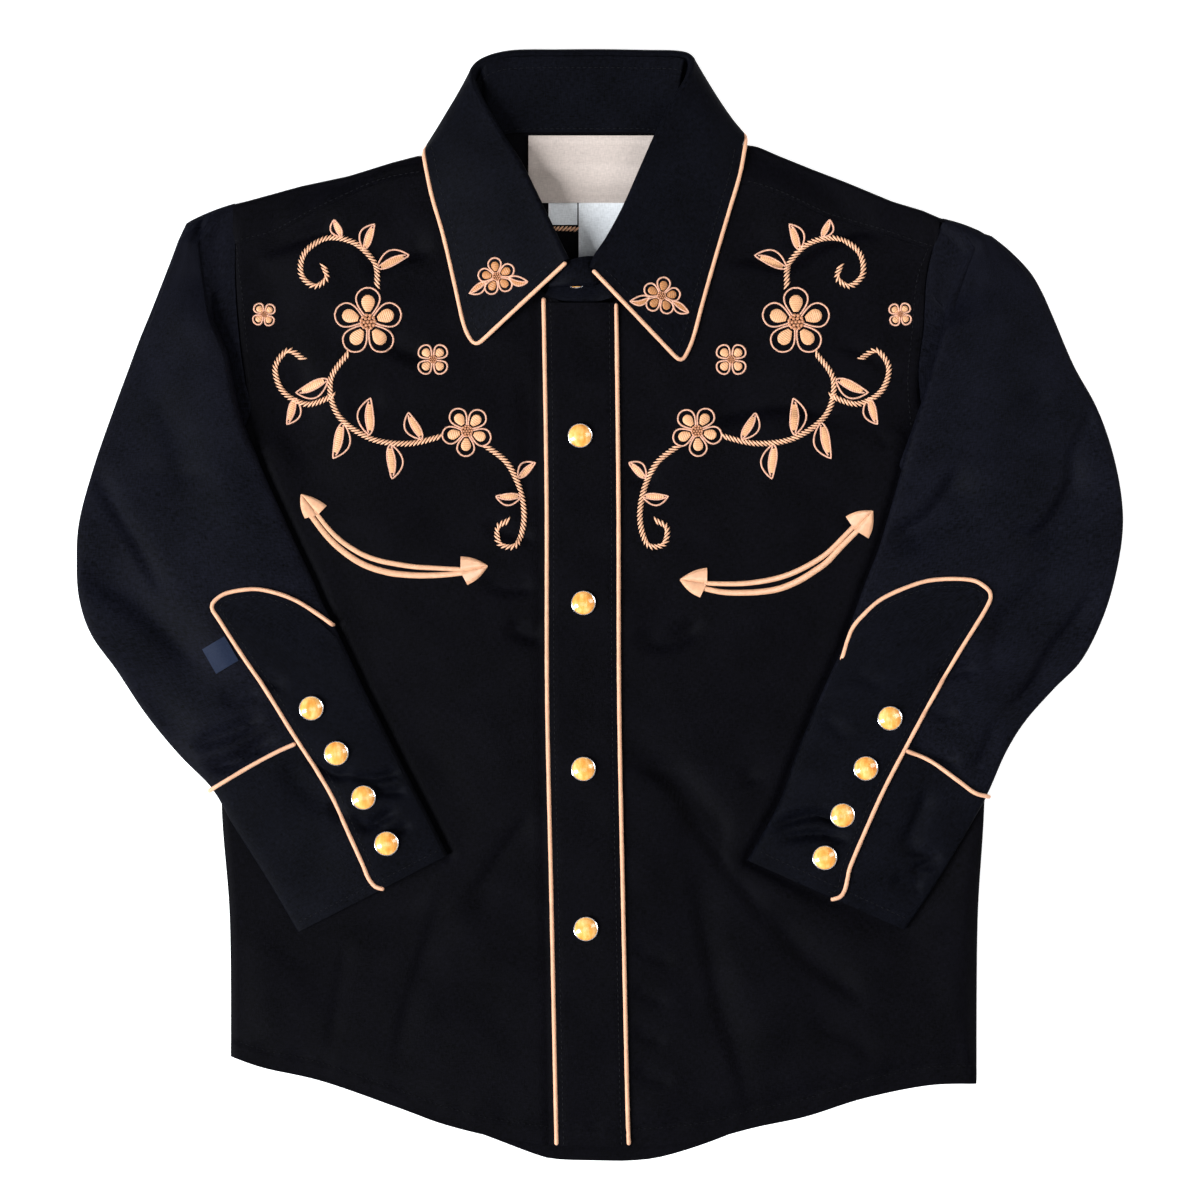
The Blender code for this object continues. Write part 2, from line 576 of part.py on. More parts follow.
def under_sleeve(x, y, sign):
    """Middle of a sleeve's lower layer: on the table beside the body, then over the fronts."""
    edge = look_up(SIDES, min(y, 52.0), 1 if sign < 0 else 2)
    reach = (abs(edge) + 22.0 - abs(x)) / 20.0
    return 0.65 + 3.4 * ease(reach)


def sleeve_section(arm, cap, place, sign):
    """Ring of middle points: back seam, outer turn, top, inner turn, tuck, front seam."""
    ox, oy, ix, iy, inset = spline(arm, place)
    span = math.hypot(ix - ox, iy - oy)
    dx, dy = (ix - ox) / span, (iy - oy) / span
    at_cap = place <= len(cap) - 1
    fx, fy, tuck, bx, by = spline(cap, place) if at_cap else (0, 0, 0, 0, 0)
    open_part = 1.0 if at_cap and place < 6.0 else 0.0
    if at_cap and 6.0 <= place:
        open_part = ease((len(cap) - 1 - place) / 1.0)

    def spot(a, z):
        return Vector((ox + dx * a, oy + dy * a, z))

    def under(a):
        x, y = ox + dx * a, oy + dy * a
        return 0.65 if at_cap else under_sleeve(x, y, sign)

    gap = 2.8                      # between the two layers at a turned edge
    edge = 0.6 + 0.2               # the turned edge keeps the outline at its outer face
    seam_at = span - inset
    back = Vector((bx, by, BACK_Z + 0.05)) if at_cap else spot(seam_at - 0.35, under(seam_at - 0.35))
    ring = []
    for j in range(12):            # seam to outer turn, along the lower layer
        part = 1.0 - (1.0 - j / 12.0) ** 1.25
        foot = spot(2.4, under(2.4))
        p = back.lerp(foot, part)
        if not at_cap:
            p.z = under((p - spot(0, 0)).xy.length)
        ring.append(p)
    ring.append(spot(2.2, under(2.2)))
    outer = under(0.0)
    ring.append(spot(edge, outer + gap / 2))
    ring.append(spot(2.2, outer + gap))
    # heights of the top layer at the inner turn
    if at_cap:
        depth = ease((tuck + 2.0) / 8.0)
        inner_low = 3.0 + 1.9 * depth
        inner_top = inner_low + 1.4 + 1.2 * depth
    else:
        inner_low = under(span - 2.2)
        inner_top = inner_low + gap
    for part in (0.1, 0.26, 0.5, 0.74, 0.9):
        a = part * span
        base = (outer + gap) + ease(part) * (inner_top - outer - gap) if at_cap else under(a) + gap
        ring.append(spot(a, base + CROWN * math.sin(math.pi * part) ** 0.8))
    soft = 1.0 - depth if at_cap else 0.0
    ring.append(spot(span - 2.2, inner_top))
    ring.append(spot(span - edge + 1.5 * soft, (inner_top + inner_low) / 2))
    ring.append(spot(span - 2.2 + 5.5 * soft, inner_low))
    closed = []
    for k in range(1, 5):          # below the underarm the tube closes under itself
        a = span - 2.2 - k / 4.0 * (inset - 2.2 - 0.35)
        closed.append(spot(a, under(a)))
    if at_cap:
        front = Vector((fx, fy, FRONT_Z + 0.1 + 0.8 * (1 - open_part)))
        if place > 6.9:            # at the underarm the tuck has run out
            opened = [Vector((ring[-1].x, ring[-1].y, inner_low)).lerp(front, part)
                      for part in (0.45, 0.78, 0.93, 1.0)]
            opened[0].z = opened[1].z = inner_low
            opened[2].z = 4.1
        elif tuck > 1.0:           # a real tuck: back under, turn, and out to the armhole
            tip = spot(span - 2.2 - tuck, 3.65)
            opened = [spot(span - 2.2 - tuck + 1.2, inner_low - 0.15), tip,
                      spot(span - 2.2 - tuck + 1.2, 2.5), front]
        else:                      # a soft step down to the armhole
            start = ring[-1]
            opened = [start.lerp(front, part) for part in (0.25, 0.5, 0.75, 1.0)]
            for p in opened:
                p.z = min(p.z, max(2.4, start.z - 0.8))
        ring += opened
    else:
        ring += closed
    return ring


def shoulder_section(first, sign):
    """Top of the cap, along the shoulder line between armhole and shoulder point."""
    tip = first[MIDDLE]
    start = Vector((sign * (161.0 if sign < 0 else 151.0), 0, 0))
    end = Vector((-181.2, 169.2, 0)) if sign < 0 else Vector((168.4, 164.6, 0))
    start.y = look_up(SHOULDER, start.x, 1)
    lower, upper, edge = [], [], []
    for j in range(MIDDLE):
        part = j / MIDDLE
        p = start.lerp(end, part)
        p.y += 1.2 * math.sin(math.pi * part) * 0.5
        lower.append(Vector((p.x, p.y - 2.1, BACK_Z + 0.05)))
        edge.append(Vector((p.x, p.y - 0.8, BACK_Z + FOLD_R)))
        upper.append(Vector((p.x, p.y - 2.1, BACK_Z + 2 * FOLD_R)))
    middle = Vector((end.x + (tip.x - end.x) * 0.2, end.y - 1.2, BACK_Z + FOLD_R))
    return lower + [middle] + upper[::-1], edge + [middle]


def sleeve(name, arm, cap, stop, sign):
    """Sleeve wall from the shoulder line to the cuff seam, closed over the shoulder."""
    places = [0.0, 1.0, 2.0, 3.0, 4.0, 5.0, 6.0, 6.6, 7.0, 7.5, 8.0] + [
        8.0 + (stop - 8.0) * (i + 1) / 6 for i in range(6)]
    places[-1] = stop - 0.02
    rows = [sleeve_section(arm, cap, place, sign) for place in places]
    first, edge = shoulder_section(rows[0], sign)
    rows = [first] + rows
    columns = 2 * MIDDLE + 1
    points = [p for row in rows for p in row]
    faces = grid_faces(len(rows), columns)
    base = len(points)
    points += edge[:-1]
    line = [base + j for j in range(MIDDLE)] + [MIDDLE]
    for j in range(MIDDLE):
        low, high = (j, j + 1), (2 * MIDDLE - j, 2 * MIDDLE - j - 1)
        if j < MIDDLE - 1:
            faces.append((low[0], line[j], line[j + 1], low[1]))
            faces.append((high[0], high[1], line[j + 1], line[j]))
        else:
            faces.append((low[0], line[j], MIDDLE))
            faces.append((high[0], MIDDLE, line[j]))
    return thicken(add_object(name, points, faces, SLEEVE_BLACK), WALL)


def cuff(name, arm, start, sign):
    """Cuff tube from its seam to its hem."""
    last = len(arm) - 1
    places = [start + 0.03 + (last - start - 0.03) * i / 5 for i in range(6)]
    grid = [sleeve_section(arm, (), place, sign) for place in places]
    return cloth(name, grid, SLEEVE_BLACK)


sleeve_right = sleeve("sleeve_right", RIGHT_ARM, RIGHT_CAP, RIGHT_CUFF_ROW, -1)
sleeve_left = sleeve("sleeve_left", LEFT_ARM, LEFT_CAP, LEFT_CUFF_ROW, 1)
cuff_right = cuff("cuff_right", RIGHT_ARM, RIGHT_CUFF_ROW, -1)
cuff_left = cuff("cuff_left", LEFT_ARM, LEFT_CUFF_ROW, 1)
arm_trees = {-1: tree_of(sleeve_right, cuff_right), 1: tree_of(sleeve_left, cuff_left)}


# ---------------------------------------------------------------- front placket
def placket():
    grid = []
    for r in range(30):
        part = r / 29.0
        line = []
        for across in (0.0, 0.5, 1.0):
            y = 132.6
            for _ in range(3):
                x = placket_right(y) + across * (placket_left(y) - placket_right(y))
                low = look_up(HEM, x, 1)
                y = low + part * (132.6 - low)
            line.append(lay(body_trees, x, y, 1.05))
        grid.append(line)
    return cloth("placket", grid, BLACK, 1.1)


placket_obj = placket()
placket_trees = tree_of(placket_obj)


def placket_cord(name, column, outward):
    run = []
    for r in range(22):
        y = 131.8 + (-236.6 - 131.8) * r / 21.0
        x = look_up(PLACKET, y, column)
        high = drop(placket_trees, x - outward * 1.0, y)[0]
        run.append((x, y, high + PIPE_R + 0.45))
    return cord(name, run, PEACH)


placket_cord("piping_placket_right", 1, -1)
placket_cord("piping_placket_left", 2, 1)


# ---------------------------------------------------------------- collar
def collar_rows():
    """Roll, edge and neck points of every collar section, with edges set on the fronts."""
    rows = []
    for row in COLLAR:
        roll, edge, neck = Vector(row[0:3]), Vector(row[3:6]), Vector(row[6:9])
        if edge.z == 0.0:
            edge.z = lay(body_trees, edge.x, edge.y, 1.6)[2]
        rows.append([*roll, *edge, *neck])
    return rows


def turn_parts(rows, place):
    """Collar section at a place: roll, edge and neck points, the directions square to the
    roll line in which leaf and stand leave it, and the shift that parts the two walls."""
    here = spline(rows, place)
    ahead, behind = spline(rows, min(place + 0.2, len(rows) - 1)), spline(rows, max(place - 0.2, 0))
    roll, edge, neck = Vector(here[0:3]), Vector(here[3:6]), Vector(here[6:9])
    along = (Vector(ahead[0:3]) - Vector(behind[0:3])).normalized()
    leaf, stand = edge - roll, neck - roll
    leaf = (leaf - leaf.dot(along) * along).normalized()
    stand = (stand - stand.dot(along) * along).normalized()
    away = (stand - stand.dot(leaf) * leaf).normalized()
    natural = 5.6 * math.sin(0.5 * leaf.angle(stand))
    return roll, edge, neck, leaf, stand, away, max(0.0, (3.3 - natural) / 2)


def collar_places():
    """Places along the collar table, closer together at the two sides of the neck."""
    places, at = [], 0.0
    for stop, steps in ((5.4, 7), (9.6, 11), (13.4, 4), (18.4, 13), (24.0, 8)):
        places += [at + (stop - at) * i / steps for i in range(steps)]
        at = stop
    return places + [24.0]


def collar_leaf(rows):
    """Leaf from its turned-in top, over the roll and out to its edge."""
    grid = []
    for place in collar_places():
        roll, edge, _, leaf, stand, away, part = turn_parts(rows, place)
        out = edge - roll
        line = [roll + stand * 2.4 + away * part, roll, roll + leaf * 2.8 - away * part]
        for reach in (0.25, 0.5, 0.75, 1.0):
            p = roll + out * reach - away * part * max(0.0, 1.0 - reach / 0.7)
            line.append(p)
        for p in line:
            p.z = max(p.z, 0.8)
        grid.append(line)
    return grid


def collar_stand(rows):
    """Stand from its right front end round the neck, with the lapped end over the middle."""
    ends = []
    places = evenly(2.0, 5.4, 4) + evenly(5.4, 9.6, 5) + evenly(9.6, 13.4, 4) + evenly(13.4, 18.4, 6)
    for place in places + evenly(18.4, 22.7, 6) + [22.7]:
        roll, _, neck, _, stand, away, part = turn_parts(rows, place)
        side = ease((place - 5.0) / 1.6) * ease((10.6 - place) / 1.6)
        side += ease((place - 12.8) / 1.6) * ease((18.8 - place) / 1.6)
        inward = Vector((-8.0 - roll.x, 214.0 - roll.y, 0.0)).normalized()
        inward *= (1.3 if place < 12.0 else 2.4) * side
        top = roll + stand * (3.6 + side) + away * part + inward
        ends.append([top.x, top.y, max(top.z, 4.3 + 0.5 * side), *neck])
    plain = len(ends)
    ends += [list(row) for row in STAND_LAP]
    steep = ((0.0, 0.0), (0.17, 0.07), (0.3, 0.32), (0.46, 0.72), (0.7, 0.94), (1.0, 1.0))
    grid = []
    for i, values in enumerate(ends):
        top, neck = Vector(values[0:3]), Vector(values[3:6])
        lap = ease((i - plain + 2.0) / 2.0)
        line = []
        for k, (run, rise) in enumerate(steep):
            p = neck.lerp(top, k / (len(steep) - 1))
            q = Vector((neck.x + (top.x - neck.x) * run, neck.y + (top.y - neck.y) * run,
                        neck.z + (top.z - neck.z) * rise))
            line.append(p.lerp(q, lap))
        grid.append(line)
    return grid


collar = collar_rows()
leaf_grid = collar_leaf(collar)
stand_grid = collar_stand(collar)
cloth("collar_leaf", leaf_grid, SLEEVE_BLACK, LEAF_WALL)
cloth("collar_stand", stand_grid, BLACK, STAND_WALL)


def collar_cord():
    """Piping along both front edges and the long outer edge of the leaf."""
    gap = LEAF_WALL / 2 + PIPE_R + 0.3
    run = []
    first, last = leaf_grid[0], leaf_grid[-1]

    def beside(column, other):
        out = []
        for p, q in zip(column[2:], other[2:]):
            away = (p - q)
            away.z = 0.0
            out.append(p + away.normalized() * gap)
        return out
    run += beside(first, leaf_grid[1])
    for i, a in enumerate(leaf_grid):
        along = leaf_grid[min(i + 1, len(leaf_grid) - 1)][-1] - leaf_grid[max(i - 1, 0)][-1]
        along.normalize()
        away = a[-1] - a[-2]
        away -= away.dot(along) * along
        run.append(a[-1] + away.normalized() * gap)
    run += beside(last, leaf_grid[-2])[::-1]
    for p in run:
        under = lay(body_trees, p.x, p.y, PIPE_R + 0.35)[2]
        p.z = max(p.z, PIPE_R + 0.02, under if p.z > 4.5 else 0.0)
    return cord("piping_collar", [tuple(p) for p in run], PEACH)


collar_cord()


# ---------------------------------------------------------------- sleeve bands
def inner_edge(arm, place, inset):
    ox, oy, ix, iy, _ = spline(arm, place)
    span = math.hypot(ix - ox, iy - oy)
    return ix + (ox - ix) * inset / span, iy + (oy - iy) * inset / span


def sleeve_band(name, band, arm, sign, first, last):
    """Placket strip with its rounded head, running on down the cuff to the hem."""
    run = even_run(band, 19)
    grid = []
    for i in range(2, len(run)):
        dx, dy = [b - a for a, b in zip(run[i - 1], run[min(i + 1, len(run) - 1)])]
        size = math.hypot(dx, dy) / 2.1
        x, y = run[i][0] + sign * dy / size, run[i][1] - sign * dx / size
        part = (i - 2) / (len(run) - 3)
        ex, ey = inner_edge(arm, first + (last - first) * part, 3.4)
        line = []
        for across in (0.0, 0.33, 0.67, 1.0):
            line.append(lay(arm_trees[sign], x + (ex - x) * across, y + (ey - y) * across, 0.95))
        grid.append(line)
    cloth(name, grid, SLEEVE_BLACK, 1.1)


def sleeve_cord(name, band, sign):
    run = [lay(arm_trees[sign], x, y, PIPE_R + 0.4) for x, y in even_run(band, 26)]
    return cord(name, run, PEACH)


sleeve_cord("piping_band_right", RIGHT_BAND, -1)
sleeve_cord("piping_band_left", LEFT_BAND, 1)
for name, seam, sign in (("piping_cuff_right", RIGHT_CUFF_SEAM, -1), ("piping_cuff_left", LEFT_CUFF_SEAM, 1)):
    cord(name, [lay(arm_trees[sign], x, y, PIPE_R + 0.4) for x, y in even_run(seam, 8)], PEACH)


# the rows of each arm between which the strip's inner edge runs
CUFF_END = 18.93
sleeve_band("band_right", RIGHT_BAND, RIGHT_ARM, -1, 12.4, CUFF_END)
sleeve_band("band_left", LEFT_BAND, LEFT_ARM, 1, 12.7, CUFF_END)


# ---------------------------------------------------------------- pockets
def arrowhead(name, px, py, ax, ay, bx, by):
    """Three-cornered stay, laid flat and bevelled, on the front."""
    spots = [(px, py), (ax, ay), (bx, by)]
    level = max(lay(body_trees, x, y, 0.0)[2] for x, y in spots + [
        ((px + ax + bx) / 3, (py + ay + by) / 3)]) + 0.35
    mesh = bmesh.new()
    low = [mesh.verts.new((x * MM, y * MM, level * MM)) for x, y in spots]
    base = mesh.faces.new(low)
    out = bmesh.ops.extrude_face_region(mesh, geom=[base])
    top = [v for v in out["geom"] if isinstance(v, bmesh.types.BMVert)]
    bmesh.ops.translate(mesh, verts=top, vec=(0, 0, 1.3 * MM))
    middle = sum((v.co for v in top), Vector()) / 3
    for v in top:
        v.co.xy = middle.xy + (v.co.xy - middle.xy) * 0.84
    bmesh.ops.recalc_face_normals(mesh, faces=mesh.faces)
    data = bpy.data.meshes.new(name)
    mesh.to_mesh(data)
    mesh.free()
    obj = bpy.data.objects.new(name, data)
    bpy.context.scene.collection.objects.link(obj)
    data.materials.append(material(name, PEACH, 0.6))


for name, line in WELTS:
    cord(name, [lay(body_trees, x, y, 0.9 + 0.35) for x, y in even_run(line, 14)], PEACH, 0.9)
for row in ARROWHEADS:
    arrowhead(*row)


# ---------------------------------------------------------------- snaps
UP = (0.0, 0.0, 1.0)
strip_trees = {-1: tree_of(bpy.data.objects["band_right"]), 1: tree_of(bpy.data.objects["band_left"])}


def seat(trees, x, y):
    """Where a snap's flat underside just clears the cloth under its rim."""
    spots = [(0, 0)] + [(SNAP_R * math.cos(t * 0.785), SNAP_R * math.sin(t * 0.785)) for t in range(8)]
    return (x, y, max(drop(trees, x + dx, y + dy)[0] for dx, dy in spots) + 0.32)


for i, (x, y) in enumerate(FRONT_SNAPS):
    snap("snap_front_%d" % (i + 1), seat(placket_trees, x, y), UP)
for i, (x, y) in enumerate(RIGHT_CUFF_SNAPS):
    snap("snap_cuff_right_%d" % (i + 1), seat(strip_trees[-1], x, y), UP)
for i, (x, y) in enumerate(LEFT_CUFF_SNAPS):
    snap("snap_cuff_left_%d" % (i + 1), seat(strip_trees[1], x, y), UP)


def collar_snap():
    """The snap on the steep front of the stand, square to its cloth."""
    column = stand_grid[-3]
    here = (column[2] + column[3]) / 2
    rise = (column[3] - column[2]).normalized()
    across = (stand_grid[-4][2] - stand_grid[-2][2]).normalized()
    out = across.cross(rise)
    out = out if out.y < 0 else -out
    out.normalize()
    snap("snap_collar", here + rise * 1.6 + out * (STAND_WALL / 2 + 1.7), out)


collar_snap()


# ---------------------------------------------------------------- labels
def label(name, x0, x1, top, bottom, wall, color):
    grid = []
    rows = max(3, int((top - bottom) / 4.0))
    for r in range(rows + 1):
        y = bottom + (top - bottom) * r / rows
        grid.append([lay([yoke_trees[0]], x, y, 0.45 + wall / 2)
                     for x in (x0, x0 + (x1 - x0) / 3, x1 - (x1 - x0) / 3, x1)])
    cloth(name, grid, color, wall)


yoke_trees = body_trees[:1]
for row in LABELS:
    label(*row)

tab = []
for across in (0.0, 0.33, 0.67, 1.0):
    a = Vector(TAB_LABEL[0]).lerp(Vector(TAB_LABEL[3]), across)
    b = Vector(TAB_LABEL[1]).lerp(Vector(TAB_LABEL[2]), across)
    tab.append([lay(arm_trees[-1], *a.lerp(b, t), 0.65) for t in (0.0, 0.5, 0.9)])
cloth("label_tab", tab, NAVY, 0.5)
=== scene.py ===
"""Child's western shirt, fastened and laid out flat on its back: every piece as it looks.

Lengths are in millimetres and are scaled to metres where a mesh is made. +Z is up off the table,
+Y towards the collar, and +X towards the wearer's left.
"""
import math

import bmesh
import bpy
import numpy as np
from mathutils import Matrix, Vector
from mathutils.bvhtree import BVHTree


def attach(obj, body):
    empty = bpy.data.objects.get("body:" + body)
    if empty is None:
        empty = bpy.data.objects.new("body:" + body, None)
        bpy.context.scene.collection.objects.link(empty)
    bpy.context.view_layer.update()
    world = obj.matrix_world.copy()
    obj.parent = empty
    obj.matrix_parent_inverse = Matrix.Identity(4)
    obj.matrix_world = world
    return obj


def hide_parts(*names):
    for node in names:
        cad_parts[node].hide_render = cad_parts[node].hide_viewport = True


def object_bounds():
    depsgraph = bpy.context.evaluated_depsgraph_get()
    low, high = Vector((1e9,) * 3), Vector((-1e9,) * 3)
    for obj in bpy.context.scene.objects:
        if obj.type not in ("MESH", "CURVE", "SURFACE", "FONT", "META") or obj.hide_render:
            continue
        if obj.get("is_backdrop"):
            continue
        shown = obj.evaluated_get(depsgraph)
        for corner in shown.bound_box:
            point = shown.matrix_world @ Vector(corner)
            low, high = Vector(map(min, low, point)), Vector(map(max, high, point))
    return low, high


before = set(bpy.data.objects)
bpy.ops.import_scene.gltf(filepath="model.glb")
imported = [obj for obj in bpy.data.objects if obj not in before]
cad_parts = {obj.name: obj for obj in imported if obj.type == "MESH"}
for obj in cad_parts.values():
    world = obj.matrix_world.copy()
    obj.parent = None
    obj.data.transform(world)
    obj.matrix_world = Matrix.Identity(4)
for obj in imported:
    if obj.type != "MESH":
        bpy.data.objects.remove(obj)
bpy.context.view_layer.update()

# ------------------------------------------------------------------ studio
# A pale table top, a square camera straight above it, a wide soft light overhead and a tall soft
# light on each side, so that folds in black cloth still read.
MM = 0.001
PICTURE = 528.0          # width of table in the square picture
CAMERA_UP = 1900.0
CLOTH_UP = 5.0           # height at which the picture is PICTURE wide
SENSOR = 36.0
AIM = (0.0, 2.2)


def in_scene(name, data):
    made = bpy.data.objects.new(name, data)
    bpy.context.scene.collection.objects.link(made)
    return made


camera = in_scene("camera", bpy.data.cameras.new("camera"))
bpy.context.scene.camera = camera
camera.location = (AIM[0] * MM, AIM[1] * MM, CAMERA_UP * MM)
camera.data.sensor_width = SENSOR
camera.data.lens = SENSOR * (CAMERA_UP - CLOTH_UP) / PICTURE
camera.data.clip_start = 0.05


def soft_light(name, place, width, height, power, tint=(1.0, 1.0, 1.0)):
    data = bpy.data.lights.new(name, "AREA")
    data.shape = "RECTANGLE"
    data.size, data.size_y, data.energy, data.color = width, height, power, tint
    lamp = in_scene(name, data)
    lamp.location = place
    lamp.rotation_euler = (-Vector(place)).to_track_quat("-Z", "Y").to_euler()


soft_light("overhead light", (0.0, -0.3, 2.3), 1.4, 0.8, 7.0)
soft_light("left light", (-4.7, -2.0, 3.8), 1.8, 4.0, 890.0, (0.93, 0.965, 1.0))
soft_light("right light", (1.1, 0.3, 0.85), 0.5, 1.0, 10.5)

world = bpy.data.worlds.new("studio")
world.use_nodes = True
world.node_tree.nodes["Background"].inputs["Color"].default_value = (0.93, 0.96, 1.0, 1.0)
world.node_tree.nodes["Background"].inputs["Strength"].default_value = 0.15
bpy.context.scene.world = world
bpy.context.scene.view_settings.view_transform = "Standard"

TABLE_HALF = 3.0         # in metres, as TABLE_Z
TABLE_Z = -0.0004
around = ((-1, -1), (1, -1), (1, 1), (-1, 1))
table_mesh = bpy.data.meshes.new("table top")
table_mesh.from_pydata([(x * TABLE_HALF, y * TABLE_HALF, TABLE_Z) for x, y in around], [], [(0, 1, 2, 3)])
table_top = in_scene("table_top", table_mesh)
table_top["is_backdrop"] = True


def plain_material(name, colour, rough, metal=0.0):
    made = bpy.data.materials.new(name)
    made.use_nodes = True
    shader = made.node_tree.nodes["Principled BSDF"]
    shader.inputs["Base Color"].default_value = (*colour, 1.0)
    shader.inputs["Roughness"].default_value = rough
    shader.inputs["Metallic"].default_value = metal
    return made, made.node_tree, shader


def set_inputs(node, **values):
    for label, value in values.items():
        node.inputs[label.replace("_", " ")].default_value = value


white_table, tree, shader = plain_material("white table", (0.8, 0.8, 0.8), 0.7)
set_inputs(shader, Emission_Color=(1.0, 1.0, 1.0, 1.0), Emission_Strength=0.6)
table_mesh.materials.append(white_table)

# ------------------------------------------------------------------ poplin
# Black cotton poplin with a faint navy cast. The weave is a plain one of fine thread, with the
# slightly uneven yarn that shows as a cloudy, heathered black.
BLACK = (0.0014, 0.0013, 0.0023)
# A lighter, bluer copy of BLACK for the sleeves: painted light where the sleeves catch more light than the
# body.
SLEEVE_BLACK_PAINTED_LIGHT = (0.0030, 0.0032, 0.0058)
# A lighter, bluer copy of BLACK for the collar, stand, cuffs and bands: painted light where they catch more
# light than the body.
TRIM_BLACK_PAINTED_LIGHT = (0.0019, 0.0021, 0.0038)
THREAD_PITCH = 0.36      # mm from one yarn to the next
SLUB = 0.22              # the yarn's unevenness is drawn out along it: scale on that axis
CUT = "cut"              # UV map that holds each point's place in the flat piece, in mm


def math_node(tree, operation, a, b=None, clamp=False):
    made = tree.nodes.new("ShaderNodeMath")
    made.operation = operation
    made.use_clamp = clamp
    for socket, value in zip(made.inputs, (a, b)):
        if isinstance(value, (int, float)):
            socket.default_value = value
        elif value is not None:
            tree.links.new(value, socket)
    return made.outputs[0]


def scaled(tree, value, times, plus, clamp=False):
    return math_node(tree, "ADD", math_node(tree, "MULTIPLY", value, times), plus, clamp)


def drawn_out(tree, vector, scale):
    """A pattern's coordinates, scaled so that it stretches along one axis."""
    made = tree.nodes.new("ShaderNodeMapping")
    made.inputs["Scale"].default_value = scale
    tree.links.new(vector, made.inputs["Vector"])
    return made.outputs[0]


def noise_node(tree, vector, scale, detail=3.0):
    made = tree.nodes.new("ShaderNodeTexNoise")
    tree.links.new(vector, made.inputs["Vector"])
    made.inputs["Scale"].default_value = scale
    made.inputs["Detail"].default_value = detail
    return made.outputs["Fac"]


def shader_group(name, inputs, outputs):
    """A shader node group with float or vector sockets, and its two end nodes."""
    tree = bpy.data.node_groups.new(name, "ShaderNodeTree")
    for label, kind, value in inputs:
        socket = tree.interface.new_socket(label, in_out="INPUT", socket_type=kind)
        if value is not None:
            socket.default_value = value
    for label in outputs:
        tree.interface.new_socket(label, in_out="OUTPUT", socket_type="NodeSocketFloat")
    return tree, tree.nodes.new("NodeGroupInput"), tree.nodes.new("NodeGroupOutput")


def plain_weave():
    """Over and under of warp and weft, and the cloudiness of the yarn."""
    tree, start, end = shader_group(
        "plain weave",
        (("Place", "NodeSocketVector", None), ("Pitch", "NodeSocketFloat", THREAD_PITCH),
         ("Cloud", "NodeSocketFloat", 0.25)),
        ("Height", "Shade"))
    split = tree.nodes.new("ShaderNodeSeparateXYZ")
    tree.links.new(start.outputs["Place"], split.inputs[0])
    waves = []
    for axis in (0, 1):
        turns = math_node(tree, "DIVIDE", split.outputs[axis], start.outputs["Pitch"])
        waves.append(math_node(tree, "SINE", math_node(tree, "MULTIPLY", turns, math.pi)))
    over = scaled(tree, math_node(tree, "MULTIPLY", waves[0], waves[1]), 3.0, 0.5, clamp=True)
    under = math_node(tree, "SUBTRACT", 1.0, over)
    warp = math_node(tree, "MULTIPLY", math_node(tree, "ABSOLUTE", waves[0]), over)
    weft = math_node(tree, "MULTIPLY", math_node(tree, "ABSOLUTE", waves[1]), under)
    tree.links.new(math_node(tree, "ADD", warp, weft), end.inputs["Height"])
    slubs = [noise_node(tree, drawn_out(tree, start.outputs["Place"], stretch), 2.0, 2.0)
             for stretch in ((SLUB, 1.0, 1.0), (1.0, SLUB, 1.0))]
    mixed = math_node(tree, "MULTIPLY", math_node(tree, "ADD", slubs[0], slubs[1]), 2.0)
    mixed = math_node(tree, "ADD", mixed, noise_node(tree, start.outputs["Place"], 0.05, 3.0))
    centred = math_node(tree, "MULTIPLY", math_node(tree, "SUBTRACT", mixed, 2.5), start.outputs["Cloud"])
    tree.links.new(scaled(tree, centred, 2.0, 1.0), end.inputs["Shade"])
    return tree


weave = plain_weave()


def use_group(tree, group, place, **values):
    made = tree.nodes.new("ShaderNodeGroup")
    made.node_tree = group
    tree.links.new(place, made.inputs["Place"])
    set_inputs(made, **values)
    return made


def cut_place(tree):
    made = tree.nodes.new("ShaderNodeUVMap")
    made.uv_map = CUT
    return made.outputs["UV"]


def shaded(tree, shader, colour, shade):
    """Base colour times a shade that changes over the surface."""
    made = tree.nodes.new("ShaderNodeVectorMath")
    made.operation = "SCALE"
    made.inputs[0].default_value = colour
    tree.links.new(shade, made.inputs["Scale"])
    tree.links.new(made.outputs[0], shader.inputs["Base Color"])


def bump(tree, shader, height, depth, strength):
    made = tree.nodes.new("ShaderNodeBump")
    made.inputs["Distance"].default_value = depth * MM
    made.inputs["Strength"].default_value = strength
    tree.links.new(height, made.inputs["Height"])
    tree.links.new(made.outputs[0], shader.inputs["Normal"])


def woven_cloth(name, colour, rough, depth, strength, weave_sizes, **shine):
    """Woven cloth, its weave laid along the flat piece."""
    made, tree, shader = plain_material(name, colour, rough)
    cloth = use_group(tree, weave, cut_place(tree), **weave_sizes)
    shaded(tree, shader, colour, cloth.outputs["Shade"])
    bump(tree, shader, cloth.outputs["Height"], depth, strength)
    set_inputs(shader, **shine)
    return made


def poplin(name, colour):
    return woven_cloth(name, colour, 0.58, 0.10, 0.35, {"Cloud": 0.6}, Specular_IOR_Level=0.03)


body_poplin = poplin("black poplin", BLACK)
# The sleeve copy is lightened as painted light.
sleeve_poplin_painted_light = poplin("black poplin lightened by painted light on sleeves", SLEEVE_BLACK_PAINTED_LIGHT)
# The collar and cuff copy is lightened as painted light.
trim_poplin_painted_light = poplin("black poplin lightened by painted light on collar and cuffs", TRIM_BLACK_PAINTED_LIGHT)

# ------------------------------------------------------------------ back panel
# The back from the yoke seam to the shirt-tail hem, cut in one piece. It lies flat on the table
# and shows as a rim below the front hem.
WALL = 0.55              # thickness of a piece of poplin
WELD = 0.01              # points nearer than this become one
SHARP_TURN = math.radians(50)
BACK_HEM_TURN = 7.0      # depth of the back hem's turning
BACK_Z = 0.6
YOKE_SEAM_Y = 108.0
